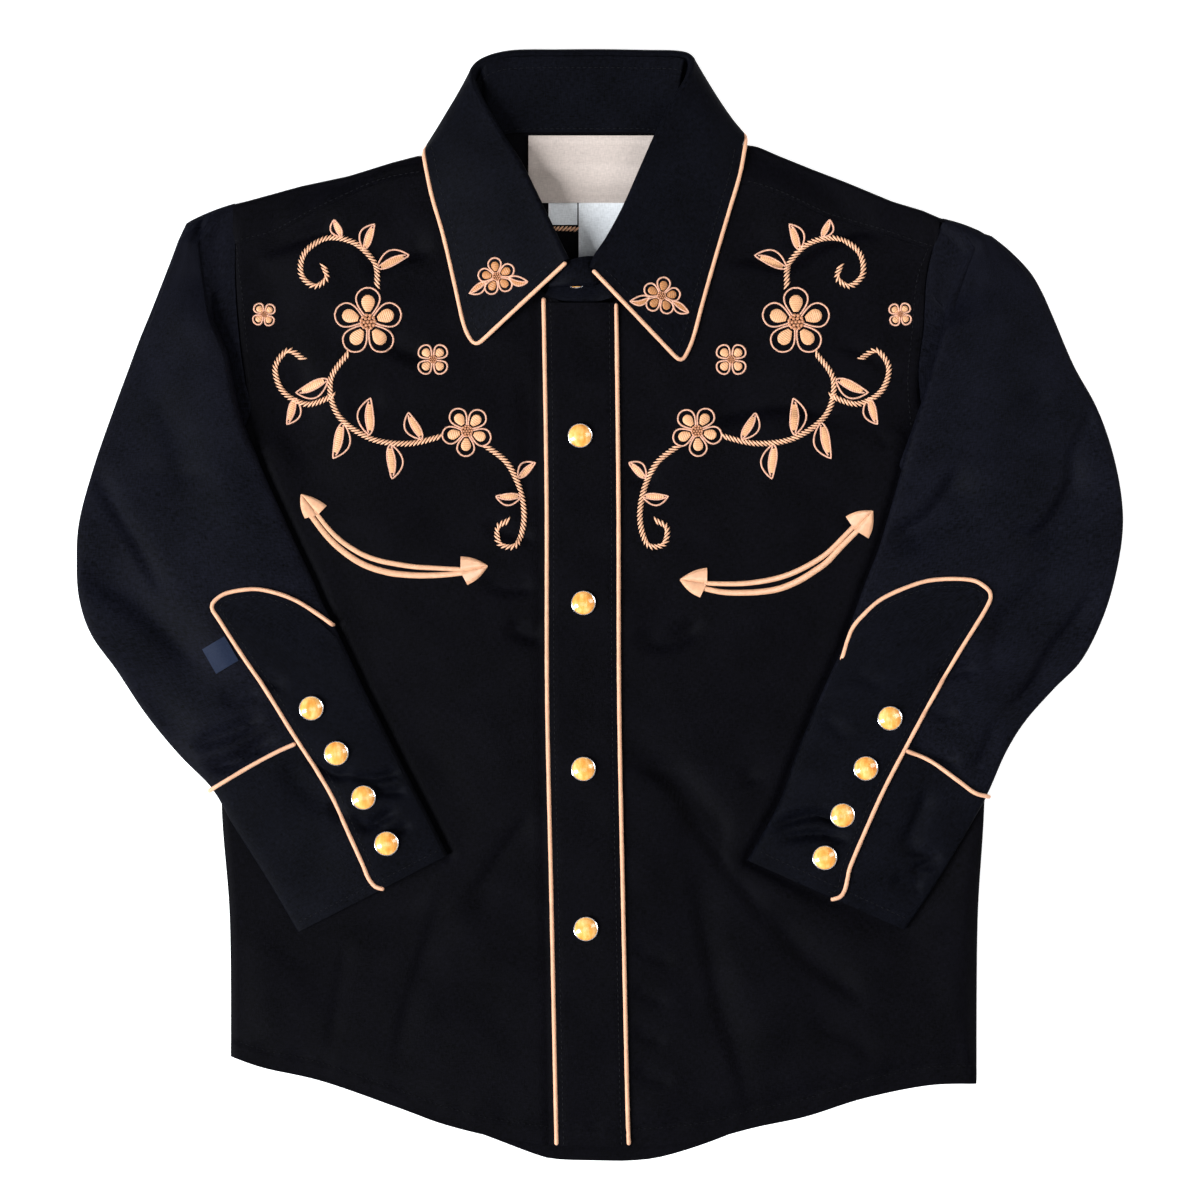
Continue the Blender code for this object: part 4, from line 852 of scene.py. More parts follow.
black_thread = sewing_thread("black thread", (0.0045, 0.0045, 0.006))
# Darker than the other black thread, with the same roughness and gloss: painted shade of the stitch holes
# along the hem.
hem_thread_painted_shade = sewing_thread("black thread darkened as painted shade", (0.0018, 0.0018, 0.0028))
front_trees = trees_of(*fronts)
yoke_trees = trees_of(yoke)
hem_run = [(x, float(front_hem(x)) + HEM_TURN) for x in np.linspace(-160.0, 163.0, 60)]
hem_runs = [laid(front_trees, part, 0.0) for part in
            ([p for p in hem_run if p[0] < -21.0], [p for p in hem_run if p[0] > 13.5])]
sew("stitching_hem", hem_runs, hem_thread_painted_shade)
seam_runs = []
for low, high in ((-160.0, -80.0), (66.0, 150.0)):
    line = [(x, float(top_seam(x)) + 0.3) for x in np.linspace(low, high, 30)]
    seam_runs.append(laid(yoke_trees, line, 0.0))
sew("stitching_yoke", seam_runs, black_thread)
ARMHOLE_STITCHES = (((-160.2, 160.0), (-159.0, 147.0), (-157.3, 134.0), (-155.4, 112.0)),
                    ((144.6, 157.0), (139.6, 143.0), (137.6, 121.0), (135.6, 99.0), (137.0, 80.0)))
sew("stitching_armholes", [laid(front_trees, line, 0.0) for line in ARMHOLE_STITCHES], black_thread)

# ------------------------------------------------------------------ sleeves and cuffs
# Each sleeve is a tube of poplin, laid flat and folded in over the front, set into the armhole
# with a soft tuck and gathered into a stiffened cuff.
GAP = 2.8                # between the two layers of a flattened tube
CROWN = 1.7              # swell of the upper layer
ON_TABLE = 0.65          # middle of the lower layer, where it lies on the table
TURN = 2.2               # from a folded edge to where its turn begins
CUFF_WALL = 0.9
# Armhole end of a sleeve section:  front seam x, y, depth of the tuck, back seam x, y
RIGHT_CAP = (
    (-160.9, 168.0, -5.0, -161.3, 169.0), (-160.8, 158.0, -3.0, -161.3, 160.0),
    (-160.9, 146.0, 0.5, -161.3, 149.0), (-160.2, 131.0, 4.0, -161.3, 135.0),
    (-158.6, 114.0, 8.0, -161.3, 119.0), (-156.6, 99.5, 11.0, -161.3, 101.0),
    (-154.6, 83.0, 13.0, -161.7, 83.0), (-169.3, 60.6, 21.0, -168.9, 60.6),
)
LEFT_CAP = (
    (149.6, 166.0, -8.0, 151.3, 167.0), (146.0, 154.0, -5.0, 151.3, 157.0),
    (143.9, 143.0, -1.0, 151.3, 146.0), (143.2, 132.0, 3.0, 151.3, 135.0),
    (142.6, 121.0, 8.0, 151.5, 122.0), (140.5, 99.0, 14.0, 153.5, 100.0),
    (146.4, 79.0, 20.0, 158.5, 81.0), (173.4, 60.4, 41.0, 172.9, 60.4),
)
RIGHT_ARM_CREASES = (
    (-1.9, 3.0, 2.4, ((-178, 178), (-177, 170), (-176, 160))),
    (-0.9, 5.0, 2.2, ((-227, 66), (-214, 42), (-204, 26), (-190, 0))),
    (-1.9, 12.0, 6.0, ((-230, 20), (-217, 10), (-204, 1), (-192, -10), (-181, -21), (-171, -28))),
    (-1.8, 4.0, 2.4, ((-179, -64), (-170, -59.5), (-158, -55), (-147, -48))),
    (-1.8, 4.0, 2.4, ((-177, -71), (-163, -70.5), (-152, -64), (-141, -57))),
    (-0.9, 4.0, 2.4, ((-152, -32), (-145, -34), (-138, -37))),
    (-0.9, 5.0, 3.0, ((-166, -44), (-156, -40), (-148, -38))),
    (-0.7, 9.0, 5.0, ((-196, 96), (-187, 72), (-181, 48))),
    (-1.5, 3.0, 2.0, ((-129, -68), (-115.5, -75), (-107, -72.5))),
    (-1.5, 3.0, 2.0, ((-111, -75), (-98.5, -76.5), (-86, -73))),
    (-1.4, 3.0, 2.0, ((-104, -80), (-94.5, -82.5), (-84, -82))),
    (-1.6, 3.0, 2.0, ((-109, -91), (-102, -97.5), (-88, -89))),
    (-1.1, 3.0, 2.0, ((-119, -86), (-116, -90), (-113, -95))),
    (-1.2, 3.0, 2.0, ((-99, -101), (-90, -100), (-82.5, -95.5))),
    (-0.7, 8.0, 5.0, ((-140, -68), (-130, -80), (-117, -92))),
)
LEFT_ARM_CREASES = (
    (-1.3, 5.0, 3.0, ((168.5, 163.7), (158, 142), (150, 121.4))),
    (-1.0, 9.0, 4.0, ((199, 94), (188, 88), (176, 79))),
    (-1.2, 6.0, 2.2, ((218, 90), (213, 78), (208, 66), (204, 52))),
    (-2.2, 7.0, 2.8, ((211, 64), (206, 50), (200, 39), (194, 32), (187, 31), (182, 38))),
    (-2.4, 11.0, 4.0, ((160, 64), (152, 48), (143, 37), (134, 31), (128, 22))),
    (-1.6, 7.0, 2.6, ((220, 10), (209, -7), (198, -21), (190, -35), (181, -45), (171, -53))),
    (-1.0, 9.0, 4.0, ((203, 16), (188, 4), (175, -8), (168, -17))),
    (-0.9, 4.0, 2.4, ((178, -6), (172, -20), (173, -33))),
    (-1.3, 4.0, 2.2, ((146, -34), (156, -30), (167, -28))),
    (-1.0, 4.0, 2.2, ((139, -44), (148, -48), (158, -49))),
    (-1.6, 4.0, 2.2, ((133, -62), (146, -66.5), (159, -72))),
    (-1.3, 6.0, 3.0, ((174, -48), (170, -64), (163, -76))),
    (-1.4, 5.0, 2.6, ((144, -80), (141, -89), (136, -101), (131, -108.5))),
    (-1.4, 4.0, 2.2, ((130, -108), (139, -108.5), (146, -112), (139.5, -116), (144, -121))),
    (-0.9, 4.0, 3.0, ((127, -121), (136, -124), (143, -124))),
    (-2.2, 3.4, 2.3, ((74, -99), (83, -95.5), (96, -93), (113, -98.5))),
    (-2.0, 3.0, 2.1, ((78, -103), (96, -101), (111, -104.5))),
    (-0.6, 4.0, 2.2, ((110, -30), (117, -33), (125, -37))),
    (-0.6, 4.0, 2.2, ((97, -50), (103, -54), (109, -60))),
)
SLEEVE_MID = 13          # column on the outer turn; columns 0 and 26 lie on the seam


def under_sleeve(x, y, sign):
    """Middle of a sleeve's lower layer: on the table beside the body, then over the fronts."""
    edge = side(min(y, 52.0), 1 if sign < 0 else 2)
    return ON_TABLE + 3.4 * float(ease((abs(edge) + 22.0 - abs(x)) / 20.0))


def sleeve_section(arm, cap, place, sign):
    """Ring of middle points: back seam, outer turn, top, inner turn, tuck, front seam."""
    ox, oy, ix, iy, inset = spline(arm, place)
    span = math.hypot(ix - ox, iy - oy)
    dx, dy = (ix - ox) / span, (iy - oy) / span
    at_cap = place <= len(cap) - 1
    fx, fy, tuck, bx, by = spline(cap, place) if at_cap else (0.0,) * 5
    open_part = float(ease(len(cap) - 1 - place)) if at_cap else 0.0

    def spot(a, z):
        return np.array((ox + dx * a, oy + dy * a, z))

    def under(a):
        return ON_TABLE if at_cap else under_sleeve(ox + dx * a, oy + dy * a, sign)

    edge = 0.5
    back_at = span - inset - 0.35
    back_point = np.array((bx, by, BACK_Z + 0.05)) if at_cap else spot(back_at, under(back_at))
    foot = spot(2.4, under(2.4))
    ring = []
    for j in range(12):
        part = 1.0 - (1.0 - j / 12.0) ** 1.25
        p = back_point + (foot - back_point) * part
        if not at_cap:
            p[2] = under(math.hypot(p[0] - ox, p[1] - oy))
        ring.append(p)
    outer = under(0.0)
    flat = GAP - 1.3 * float(ease((place - 14.0) / 3.0))
    ring += [spot(TURN, under(TURN)), spot(edge, outer + flat / 2), spot(TURN, outer + flat)]
    depth = float(ease((tuck + 2.0) / 8.0)) if at_cap else 1.0
    inner_low = 3.0 + 1.9 * depth if at_cap else under(span - TURN)
    inner_top = inner_low + (1.4 + (1.2 + 1.8 * open_part) * depth if at_cap else GAP)
    for part in (0.1, 0.26, 0.5, 0.74, 0.9):
        a = part * span
        rise = float(ease(part)) * (inner_top - outer - GAP)
        base = outer + GAP + rise if at_cap else under(a) + flat + (GAP - flat) * float(ease(part / 0.8))
        ring.append(spot(a, base + CROWN * math.sin(math.pi * part) ** 0.8))
    soft = 1.0 - depth
    ring += [spot(span - TURN, inner_top), spot(span - edge + 1.5 * soft, (inner_top + inner_low) / 2),
             spot(span - TURN + 5.5 * soft, inner_low)]
    if not at_cap:
        for k in range(1, 5):
            a = span - TURN - k / 4.0 * (inset - TURN - 0.35)
            ring.append(spot(a, under(a)))
        return ring
    front = np.array((fx, fy, FRONT_Z + 0.1 + 0.8 * (1.0 - open_part)))
    if place > 6.9:
        start = np.array((ring[-1][0], ring[-1][1], inner_low))
        opened = [start + (front - start) * part for part in (0.45, 0.78, 0.93, 1.0)]
        opened[0][2] = opened[1][2] = inner_low
        opened[2][2] = 4.1
    else:
        start = ring[-1]
        plain = [start + (front - start) * part for part in (0.25, 0.5, 0.75, 1.0)]
        for p in plain:
            p[2] = min(p[2], max(2.4, start[2] - 0.8))
        tucked = [spot(span - 1.0 - tuck, inner_low - 0.15), spot(span - TURN - tuck, 3.65),
                  spot(span - 1.0 - tuck, 2.1), front]
        share = float(ease((tuck - 0.3) / 2.6))
        opened = [a + (b - a) * share for a, b in zip(plain, tucked)]
    return ring + opened


# how finely each stretch of the ring is filled in, from the seam to the outer turn and back
HALF_STEPS = [3] * 6 + [12] * 6 + [5]
ring_places = [k + i / n for k, n in enumerate(HALF_STEPS + HALF_STEPS[::-1]) for i in range(n)] + [26.0]
top_layer = np.array([float(ease((p - 13.2) / 1.4) * ease((20.8 - p) / 1.4)) for p in ring_places])


def fine_ring(ring, creases, depth=0.12):
    """A section filled in to a smooth ring, with the creases raised in its upper layer."""
    points = spline(ring, ring_places)
    points[:, 2] += top_layer * (creased(points[:, 0], points[:, 1], creases)
                                 + rumple(points[:, 0], points[:, 1], depth))
    return points


def shoulder_section(first, sign):
    """Top of the sleeve head along the shoulder line, and the turned edge above it."""
    tip = first[SLEEVE_MID]
    start = np.array((-161.0 if sign < 0 else 151.0, 0.0, 0.0))
    end = np.array((-181.2, 169.2, 0.0) if sign < 0 else (168.4, 164.6, 0.0))
    start[1] = np.interp(start[0], shoulder[:, 0], shoulder[:, 1])
    line = []
    for j in range(SLEEVE_MID):
        bow = 0.6 * math.sin(math.pi * j / SLEEVE_MID)
        line.append(start + (end - start) * j / SLEEVE_MID + np.array((0.0, bow, 0.0)))
    middle = np.array((end[0] + (tip[0] - end[0]) * 0.2, end[1] - 1.2, BACK_Z + FOLD_R))
    lower = [p + np.array((0.0, -2.1, BACK_Z + 0.05)) for p in line]
    edge = [p + np.array((0.0, -0.5, BACK_Z + FOLD_R)) for p in line]
    upper = [p + np.array((0.0, -2.1, BACK_Z + 2 * FOLD_R)) for p in line]
    return lower + [middle] + upper[::-1], edge + [middle]


def girth_cut(rings):
    """Places in the flat piece: round the tube, and down its length."""
    rings = np.array(rings)
    round_it = np.linalg.norm(np.diff(rings, axis=1), axis=2).mean(axis=0)
    down = np.linalg.norm(np.diff(rings, axis=0), axis=2).mean(axis=1)
    u = np.concatenate([[0.0], np.cumsum(round_it)])
    v = np.concatenate([[0.0], np.cumsum(down)])
    return np.stack(np.meshgrid(u, -v), axis=-1).reshape(-1, 2)


def grid_piece(name, grid, wall, material, nodes, **extra):
    """A piece given as rows of points, cut to the lengths of its rows and columns."""
    grid = np.asarray(grid)
    return cloth_piece(name, grid.reshape(-1, 3), grid_faces(*grid.shape[:2]), girth_cut(grid), wall,
                       material, nodes, **extra)


def make_sleeve(label, sign, arm, cap, stop, creases):
    creases = smoothed(creases)
    first = sleeve_section(arm, cap, 0.0, sign)
    head, edge = shoulder_section(first, sign)
    sections = [head] + [[a + (b - a) * t for a, b in zip(head, first)] for t in (0.34, 0.67)]
    sections += [sleeve_section(arm, cap, place, sign) for place in np.linspace(0.0, stop + 0.03, 120)]
    rings = [fine_ring(sections[0], ())] + [fine_ring(section, creases) for section in sections[1:]]
    width = len(ring_places)
    points, faces = np.concatenate(rings), grid_faces(len(rings), width)
    cut = girth_cut(rings)
    middle = width // 2
    turned = spline(edge, ring_places[:middle + 1])
    loops = [rings[0][:middle + 1]]
    for t in (0.25, 0.5, 0.75):
        low, high = rings[0][:middle + 1], rings[0][::-1][:middle + 1]
        loops.append((1 - t) ** 2 * low + 2 * t * (1 - t) * (2 * turned - 0.5 * (low + high)) + t ** 2 * high)
    loops.append(rings[0][::-1][:middle + 1])
    start = len(points)
    points = np.concatenate([points] + loops)
    faces += [face[::-1] for face in grid_faces(len(loops), middle + 1, start)]
    cut = np.concatenate([cut] + [cut[:middle + 1] + (0.0, k) for k in range(len(loops))])
    return cloth_piece("cloth_sleeve_" + label, points, faces, cut, WALL, sleeve_poplin_painted_light, ["sleeve_" + label],
                       held="folded", rests=["cloth_front_" + label], welded=True)


def make_cuff(label, sign, arm, start, creases):
    creases = smoothed(creases)
    rings = [fine_ring(sleeve_section(arm, (), place, sign), creases)
             for place in np.linspace(start - 0.03, len(arm) - 1, 66)]
    return grid_piece("cloth_cuff_" + label, rings, CUFF_WALL, trim_poplin_painted_light, ["cuff_" + label], held="folded",
                      rests=["cloth_front_" + label])


# side, its sign, outline, armhole end, row where the cuff begins, creases
ARMS = (("right", -1, RIGHT_ARM, RIGHT_CAP, 15, RIGHT_ARM_CREASES),
        ("left", 1, LEFT_ARM, LEFT_CAP, 16, LEFT_ARM_CREASES))
sleeves = {arm[1]: make_sleeve(*arm) for arm in ARMS}
cuffs = {arm[1]: make_cuff(*arm[:3], *arm[4:]) for arm in ARMS}
arm_trees = {sign: trees_of(sleeves[sign], cuffs[sign]) for sign in (-1, 1)}

# ------------------------------------------------------------------ piping
# Cotton cord covered with peach satin ribbon cut on the bias, caught in the seams of the placket,
# collar, cuffs and sleeve bands.
PEACH = (0.70, 0.37, 0.222)
PIPE_R = 0.93
PIPE_SIDES = 14
PIPE_DOME = ((-0.9, 0.44), (-0.6, 0.8), (-0.3, 0.95))    # how far past the end, and the radius there


def satin(name, colour, pitch, slant, deep=0.05, rough=0.42):
    """Satin or laid thread: fine parallel yarns at a slant, with a soft shine."""
    made, tree, shader = plain_material(name, colour, rough)
    split = tree.nodes.new("ShaderNodeSeparateXYZ")
    place = cut_place(tree)
    tree.links.new(place, split.inputs[0])
    leaning = scaled(tree, split.outputs[1], slant, split.outputs[0])
    wave = math_node(tree, "SINE", math_node(tree, "MULTIPLY", leaning, 2 * math.pi / pitch))
    cloudy = scaled(tree, noise_node(tree, place, 0.35, 4.0), 0.5, 0.75)
    shaded(tree, shader, colour, scaled(tree, wave, 0.10, cloudy))
    bump(tree, shader, wave, deep, 0.6)
    set_inputs(shader, Sheen_Weight=0.25, Sheen_Roughness=0.4, Specular_IOR_Level=0.35)
    return made


piping_satin = satin("peach satin piping", PEACH, 0.55, 0.8)


def forward(run):
    """Unit direction of travel at each point of a run."""
    ahead = np.gradient(run, axis=0)
    return ahead / np.linalg.norm(ahead, axis=1)[:, None]


def pipe(name, run, node):
    """A round cord along a run of 3-D points, closed with domed ends."""
    run = np.asarray(run, float)
    ahead, length = forward(run), travelled(run)
    across = np.cross(ahead, (0.0, 0.0, 1.0))
    across /= np.linalg.norm(across, axis=1)[:, None]
    up = np.cross(across, ahead)
    stations = [(0, back * PIPE_R, size) for back, size in PIPE_DOME]
    stations += [(i, 0.0, 1.0) for i in range(len(run))]
    stations += [(len(run) - 1, -back * PIPE_R, size) for back, size in PIPE_DOME[::-1]]
    columns = PIPE_SIDES + 1
    turns = 2 * math.pi * np.arange(columns) / PIPE_SIDES
    rings, cut = [], []
    for i, shift, size in stations:
        middle = run[i] + ahead[i] * shift
        wave = 1.0 + 0.025 * math.sin(length[i] / 3.1) + 0.02 * math.sin(length[i] / 1.3)
        offset = np.cos(turns)[:, None] * across[i] + np.sin(turns)[:, None] * up[i]
        rings.append(middle + PIPE_R * size * wave * offset)
        cut.append(np.stack([np.full(columns, length[i] + shift), turns * PIPE_R], axis=1))
    points, faces = np.concatenate(rings), [f[::-1] for f in grid_faces(len(rings), columns)]
    cut = np.concatenate(cut)
    tips = ((0, run[0] - ahead[0] * PIPE_R, 1), (len(rings) - 1, run[-1] + ahead[-1] * PIPE_R, -1))
    for ring, tip, flip in tips:
        start = ring * columns
        points = np.concatenate([points, tip[None]])
        cut = np.concatenate([cut, cut[start][None]])
        faces += [(start + k, start + k + 1, len(points) - 1)[::flip] for k in range(PIPE_SIDES)]
    obj = mesh_object(name, points, faces, cut, piping_satin)
    weld(obj)
    finish_mesh(obj)
    hand_in(obj, "piping", [node])

# ------------------------------------------------------------------ front placket
# The top strip of the left front: a folded, interlined strip laid down the middle front, piped
# along both edges and topstitched just inside the piping.
PLACKET_TOP = 132.9
PLACKET_WALL = 0.9
PLACKET_LIFT = 0.95      # middle of the strip above the middle of the fronts
PIPING_LIFT = 1.13
PIPING_LOW = -236.9
PLACKET_STITCH = 3.1     # from the strip's edge to its stitching
x, y = panel(front_hem, lambda x: PLACKET_TOP, lambda y: placket_x(y, 1), lambda y: placket_x(y, 2),
             220, 24, rounds=6)
edge_in = np.minimum(x - placket_x(y, 1), placket_x(y, 2) - x)
puckers = 0.10 * np.sin(y / 4.7 + 0.9 * np.sin(x / 6.0)) * ease(edge_in / 6)
z = front_cloth(x, y) + PLACKET_LIFT + 0.25 * ease((edge_in - 1.2) / 2.5)
z = z - 0.16 * np.exp(-((edge_in - PLACKET_STITCH) / 0.8) ** 2) + puckers
placket = flat_piece("cloth_placket", x, y, z, PLACKET_WALL, body_poplin, ["placket"],
                     rests=["cloth_front_right", "cloth_front_left"])
placket_trees = trees_of(placket, *fronts)
runs = []
for name, node, column, outward, top in (("piping_front_right", "piping_placket_right", 1, -1.0, 134.2),
                                         ("piping_front_left", "piping_placket_left", 2, 1.0, 131.8)):
    run = [(float(placket_x(y, column)), y) for y in np.linspace(top, PIPING_LOW, 120)]
    place = np.array(run)
    pipe(name, np.column_stack([place, front_cloth(*place.T) + PIPING_LIFT]), node)
    runs.append(laid(placket_trees, [(x - outward * PLACKET_STITCH, y) for x, y in run], 0.0))
sew("stitching_placket", runs, black_thread)

# ------------------------------------------------------------------ collar
# A pointed leaf of two plies with interlining, on a stand that wraps the neck and laps over the
# middle front. The leaf rolls over the stand, its points spread on the fronts, and its back half
# lies folded under the yoke.
LEAF_WALL = 1.1
STAND_WALL = 1.0
ROLL_R = 1.35            # radius of the roll, at the middle of the leaf's wall
# roll x, y, z      edge x, y, z (0 = rests on the front)      neck x, y, z
COLLAR = (
    (-14.5, 150.9, 17.8, -54.6, 115.3, 0.0, -13.0, 134.0, 7.2),
    (-17.6, 157.5, 17.2, -58.6, 123.2, 0.0, -22.5, 137.2, 7.0),
    (-22.9, 168.5, 16.2, -62.9, 142.1, 0.0, -30.8, 144.6, 7.2),
    (-29.0, 181.3, 15.0, -67.7, 162.8, 0.0, -40.5, 157.4, 7.2),
    (-35.6, 194.5, 13.8, -72.7, 180.0, 0.0, -47.7, 171.8, 7.2),
    (-42.7, 205.5, 12.6, -75.4, 193.0, 0.0, -52.7, 185.7, 7.8),
    (-49.9, 217.8, 11.2, -76.4, 198.6, 6.8, -54.4, 195.8, 8.2),
    (-54.2, 226.6, 9.4, -76.2, 201.2, 4.9, -53.9, 199.5, 7.2),
    (-56.0, 233.2, 6.2, -74.6, 203.6, 2.2, -52.2, 203.0, 5.9),
    (-52.4, 239.6, 3.2, -64.0, 206.6, 0.8, -47.0, 205.8, 4.9),
    (-39.6, 243.4, 2.5, -44.0, 203.6, 0.8, -37.4, 207.7, 4.8),
    (-17.6, 243.8, 2.5, -15.4, 199.8, 0.8, -17.6, 208.2, 4.8),
    (0.0, 243.9, 2.5, 2.2, 199.8, 0.8, 0.0, 208.2, 4.8),
    (19.8, 243.6, 2.5, 22.0, 201.6, 0.8, 17.6, 208.2, 4.8),
    (34.6, 243.2, 2.7, 43.0, 207.4, 0.8, 28.6, 206.8, 4.8),
    (39.8, 240.8, 4.2, 57.5, 209.8, 0.9, 33.2, 203.8, 5.9),
    (39.4, 234.4, 7.6, 62.2, 208.4, 3.4, 35.6, 199.8, 7.2),
    (36.2, 227.6, 9.8, 63.2, 206.0, 5.8, 36.6, 195.0, 8.2),
    (31.6, 219.6, 11.4, 62.6, 202.2, 7.0, 36.4, 188.5, 7.9),
    (26.0, 208.6, 12.6, 60.3, 189.5, 0.0, 33.8, 174.9, 7.3),
    (18.6, 191.8, 13.8, 55.5, 173.2, 0.0, 28.0, 160.6, 7.2),
    (10.6, 173.6, 15.0, 49.6, 153.2, 0.0, 20.4, 148.6, 7.2),
    (3.4, 160.2, 16.4, 43.9, 133.2, 0.0, 11.6, 139.6, 7.0),
    (-1.4, 153.0, 17.6, 39.6, 117.2, 0.0, 4.0, 134.8, 7.2),
    (-3.6, 147.4, 18.0, 35.6, 108.2, 0.0, -1.0, 133.8, 7.2),
)
# Lapped end of the stand over the middle front:  top x, y, z, neck x, y, z
STAND_LAP = (
    (-3.6, 152.6, 15.6, -1.6, 133.6, 5.6), (-9.0, 152.0, 16.4, -9.6, 133.6, 5.4),
    (-14.6, 149.8, 15.6, -17.6, 134.2, 5.5), (-19.6, 145.6, 12.2, -24.0, 136.6, 6.2),
)
body_trees = trees_of(yoke, *fronts)
yoke_inner = trees_of(yoke)


def unit(vector):
    return vector / max(1e-9, float(np.linalg.norm(vector)))


LAST_ROW = len(COLLAR) - 1.0
nearby = [(dx, dy) for dx in (-2, 0, 2) for dy in (-2, 0, 2)]
collar_rows = np.array(COLLAR)
for row in collar_rows:
    if row[5] == 0.0:
        row[5] = max(top_of(body_trees, row[3] + dx, row[4] + dy) for dx, dy in nearby) + LEAF_WALL


def collar_section(place):
    """Roll centre, the way down from it, the way out to the leaf, edge and neck points."""
    here, ahead = spline(collar_rows, place), spline(collar_rows, min(place + 0.2, LAST_ROW))
    behind = spline(collar_rows, max(place - 0.2, 0.0))
    roll, edge, neck = here[0:3], here[3:6], here[6:9]
    along = unit(ahead[0:3] - behind[0:3])
    leaf, stand = edge - roll, neck - roll
    leaf, stand = unit(leaf - leaf.dot(along) * along), unit(stand - stand.dot(along) * along)
    down = unit(leaf + stand)
    out = leaf - leaf.dot(down) * down
    if float(np.linalg.norm(out)) < 1e-3:
        out = np.cross(along, down)
    return roll + down * (ROLL_R - 0.45), down, unit(out), edge, neck


def stretches(*parts):
    """Places along the collar: first, last and how many in each stretch."""
    return np.concatenate([np.linspace(*part) for part in parts])


leaf_places = stretches((0, 5.4, 60), (5.45, 9.6, 60), (9.65, 13.4, 34), (13.45, 18.4, 70), (18.45, 24, 60))
leaf_rows = []
for place in leaf_places:
    centre, down, out, edge, neck = collar_section(place)
    line = [centre - out * ROLL_R + down * drop for drop in (4.0, 2.4, 1.0)]
    for angle in np.radians(np.linspace(-90, 90, 13)):
        line.append(centre + ROLL_R * (-down * math.cos(angle) + out * math.sin(angle)))
    start = line[-1]
    for t in np.linspace(0.0, 1.0, 19)[1:]:
        p = start + (edge - start) * t
        soft = 0.9 * math.sin(math.pi * t) ** 1.5 * (1.0 if edge[2] > 2.5 else 0.15)
        line.append(p + np.array((0.0, 0.0, soft)))
    leaf_rows.append(np.array(line))
leaf_grid = np.array(leaf_rows)
rib = np.linspace(0, 1, leaf_grid.shape[1])
uneven = (leaf_grid[..., 2] > 4.0) * 0.5 * rumple(leaf_grid[..., 0], leaf_grid[..., 1])
leaf_grid[..., 2] += uneven * np.clip(rib * 3 - 1, 0, 1)
leaf_grid[..., 2] = np.maximum(leaf_grid[..., 2], 0.7)
leaf = grid_piece("cloth_collar_leaf", leaf_grid, LEAF_WALL, trim_poplin_painted_light, ["collar_leaf"],
                  held="folded", rests=["cloth_yoke"])

stand_ends = []
for place in stretches((1.6, 5.4, 12), (5.8, 9.6, 14), (10.0, 13.4, 8), (13.8, 18.4, 14), (18.8, 22.9, 12)):
    centre, down, out, edge, neck = collar_section(place)
    corner = float(ease((place - 5.0) / 1.6) * ease((10.6 - place) / 1.6)
                   + ease((place - 12.8) / 1.6) * ease((18.8 - place) / 1.6))
    top = centre - out * (ROLL_R + 0.95 + 0.5 * corner) + down * 1.6
    stand_ends.append(np.concatenate([top, neck]))
plain = len(stand_ends)
stand_ends += [np.array(row) for row in STAND_LAP]
# share of the way from seam to top edge, and share of the rise: the lap buckles over its snap
BUCKLE = ((0.0, 0.0), (0.13, 0.09), (0.30, 0.31), (0.50, 0.58), (0.49, 0.80), (0.35, 0.90), (0.42, 1.08),
          (0.7, 1.12), (1.0, 1.0))
stand_rows = []
for i, values in enumerate(stand_ends):
    top, neck = values[0:3], values[3:6]
    lap = float(ease((i - plain + 2.0) / 2.0))
    line = []
    for k, (run, rise) in enumerate(BUCKLE):
        straight = neck + (top - neck) * k / (len(BUCKLE) - 1)
        bent = np.array((*(neck[:2] + (top[:2] - neck[:2]) * run), neck[2] + (top[2] - neck[2]) * rise))
        line.append(straight + (bent - straight) * lap)
    stand_rows.append(line)
stand_rows = np.array(stand_rows)
along = np.arange(0.0, len(stand_rows) - 1 + 1e-6, 0.2)
stand_grid = np.stack([spline(stand_rows[:, k], along) for k in range(len(BUCKLE))], axis=1)
stand_grid = np.array([spline(row, np.linspace(0, len(BUCKLE) - 1, 21)) for row in stand_grid])
stand = grid_piece("cloth_collar_stand", stand_grid, STAND_WALL, trim_poplin_painted_light, ["collar_stand"],
                   held="folded", rests=["cloth_yoke"])

CORD_OUT = LEAF_WALL / 2 + PIPE_R * 0.72     # from the leaf's edge to the middle of its cord


def beside(column, other):
    """The cord's run beside a short end of the leaf."""
    out = []
    for p, q in zip(column, other):
        away = p - q
        away[2] = 0.0
        out.append(p + unit(away) * CORD_OUT)
    return out


cord_run = beside(leaf_grid[0][15:], leaf_grid[2][15:])
for i, row in enumerate(leaf_grid):
    along = unit(leaf_grid[min(i + 1, len(leaf_grid) - 1)][-1] - leaf_grid[max(i - 1, 0)][-1])
    away = row[-1] - row[-2]
    cord_run.append(row[-1] + unit(away - away.dot(along) * along) * CORD_OUT)
cord_run += beside(leaf_grid[-1][15:], leaf_grid[-3][15:])[::-1]
cord_run = np.array(cord_run)
cord_run = picked(cord_run, np.arange(0.0, travelled(cord_run)[-1], 1.5))
for _ in range(3):
    cord_run[1:-1] = 0.25 * cord_run[:-2] + 0.5 * cord_run[1:-1] + 0.25 * cord_run[2:]
cord_run[:, 2] = np.maximum(cord_run[:, 2], PIPE_R + 0.05)
pipe("piping_collar_edge", cord_run, "piping_collar")

leaf_trees = trees_of(leaf)
LEAF_STITCH = 3.4        # from the leaf's edge to its stitching


def leaf_inset(place):
    """A spot on the leaf's outer face, inset from its edge."""
    row, inner = (np.array([np.interp(place, leaf_places, leaf_grid[:, column, k]) for k in range(3)])
                  for column in (-1, -8))
    return (row + unit(inner - row) * LEAF_STITCH)[:2]


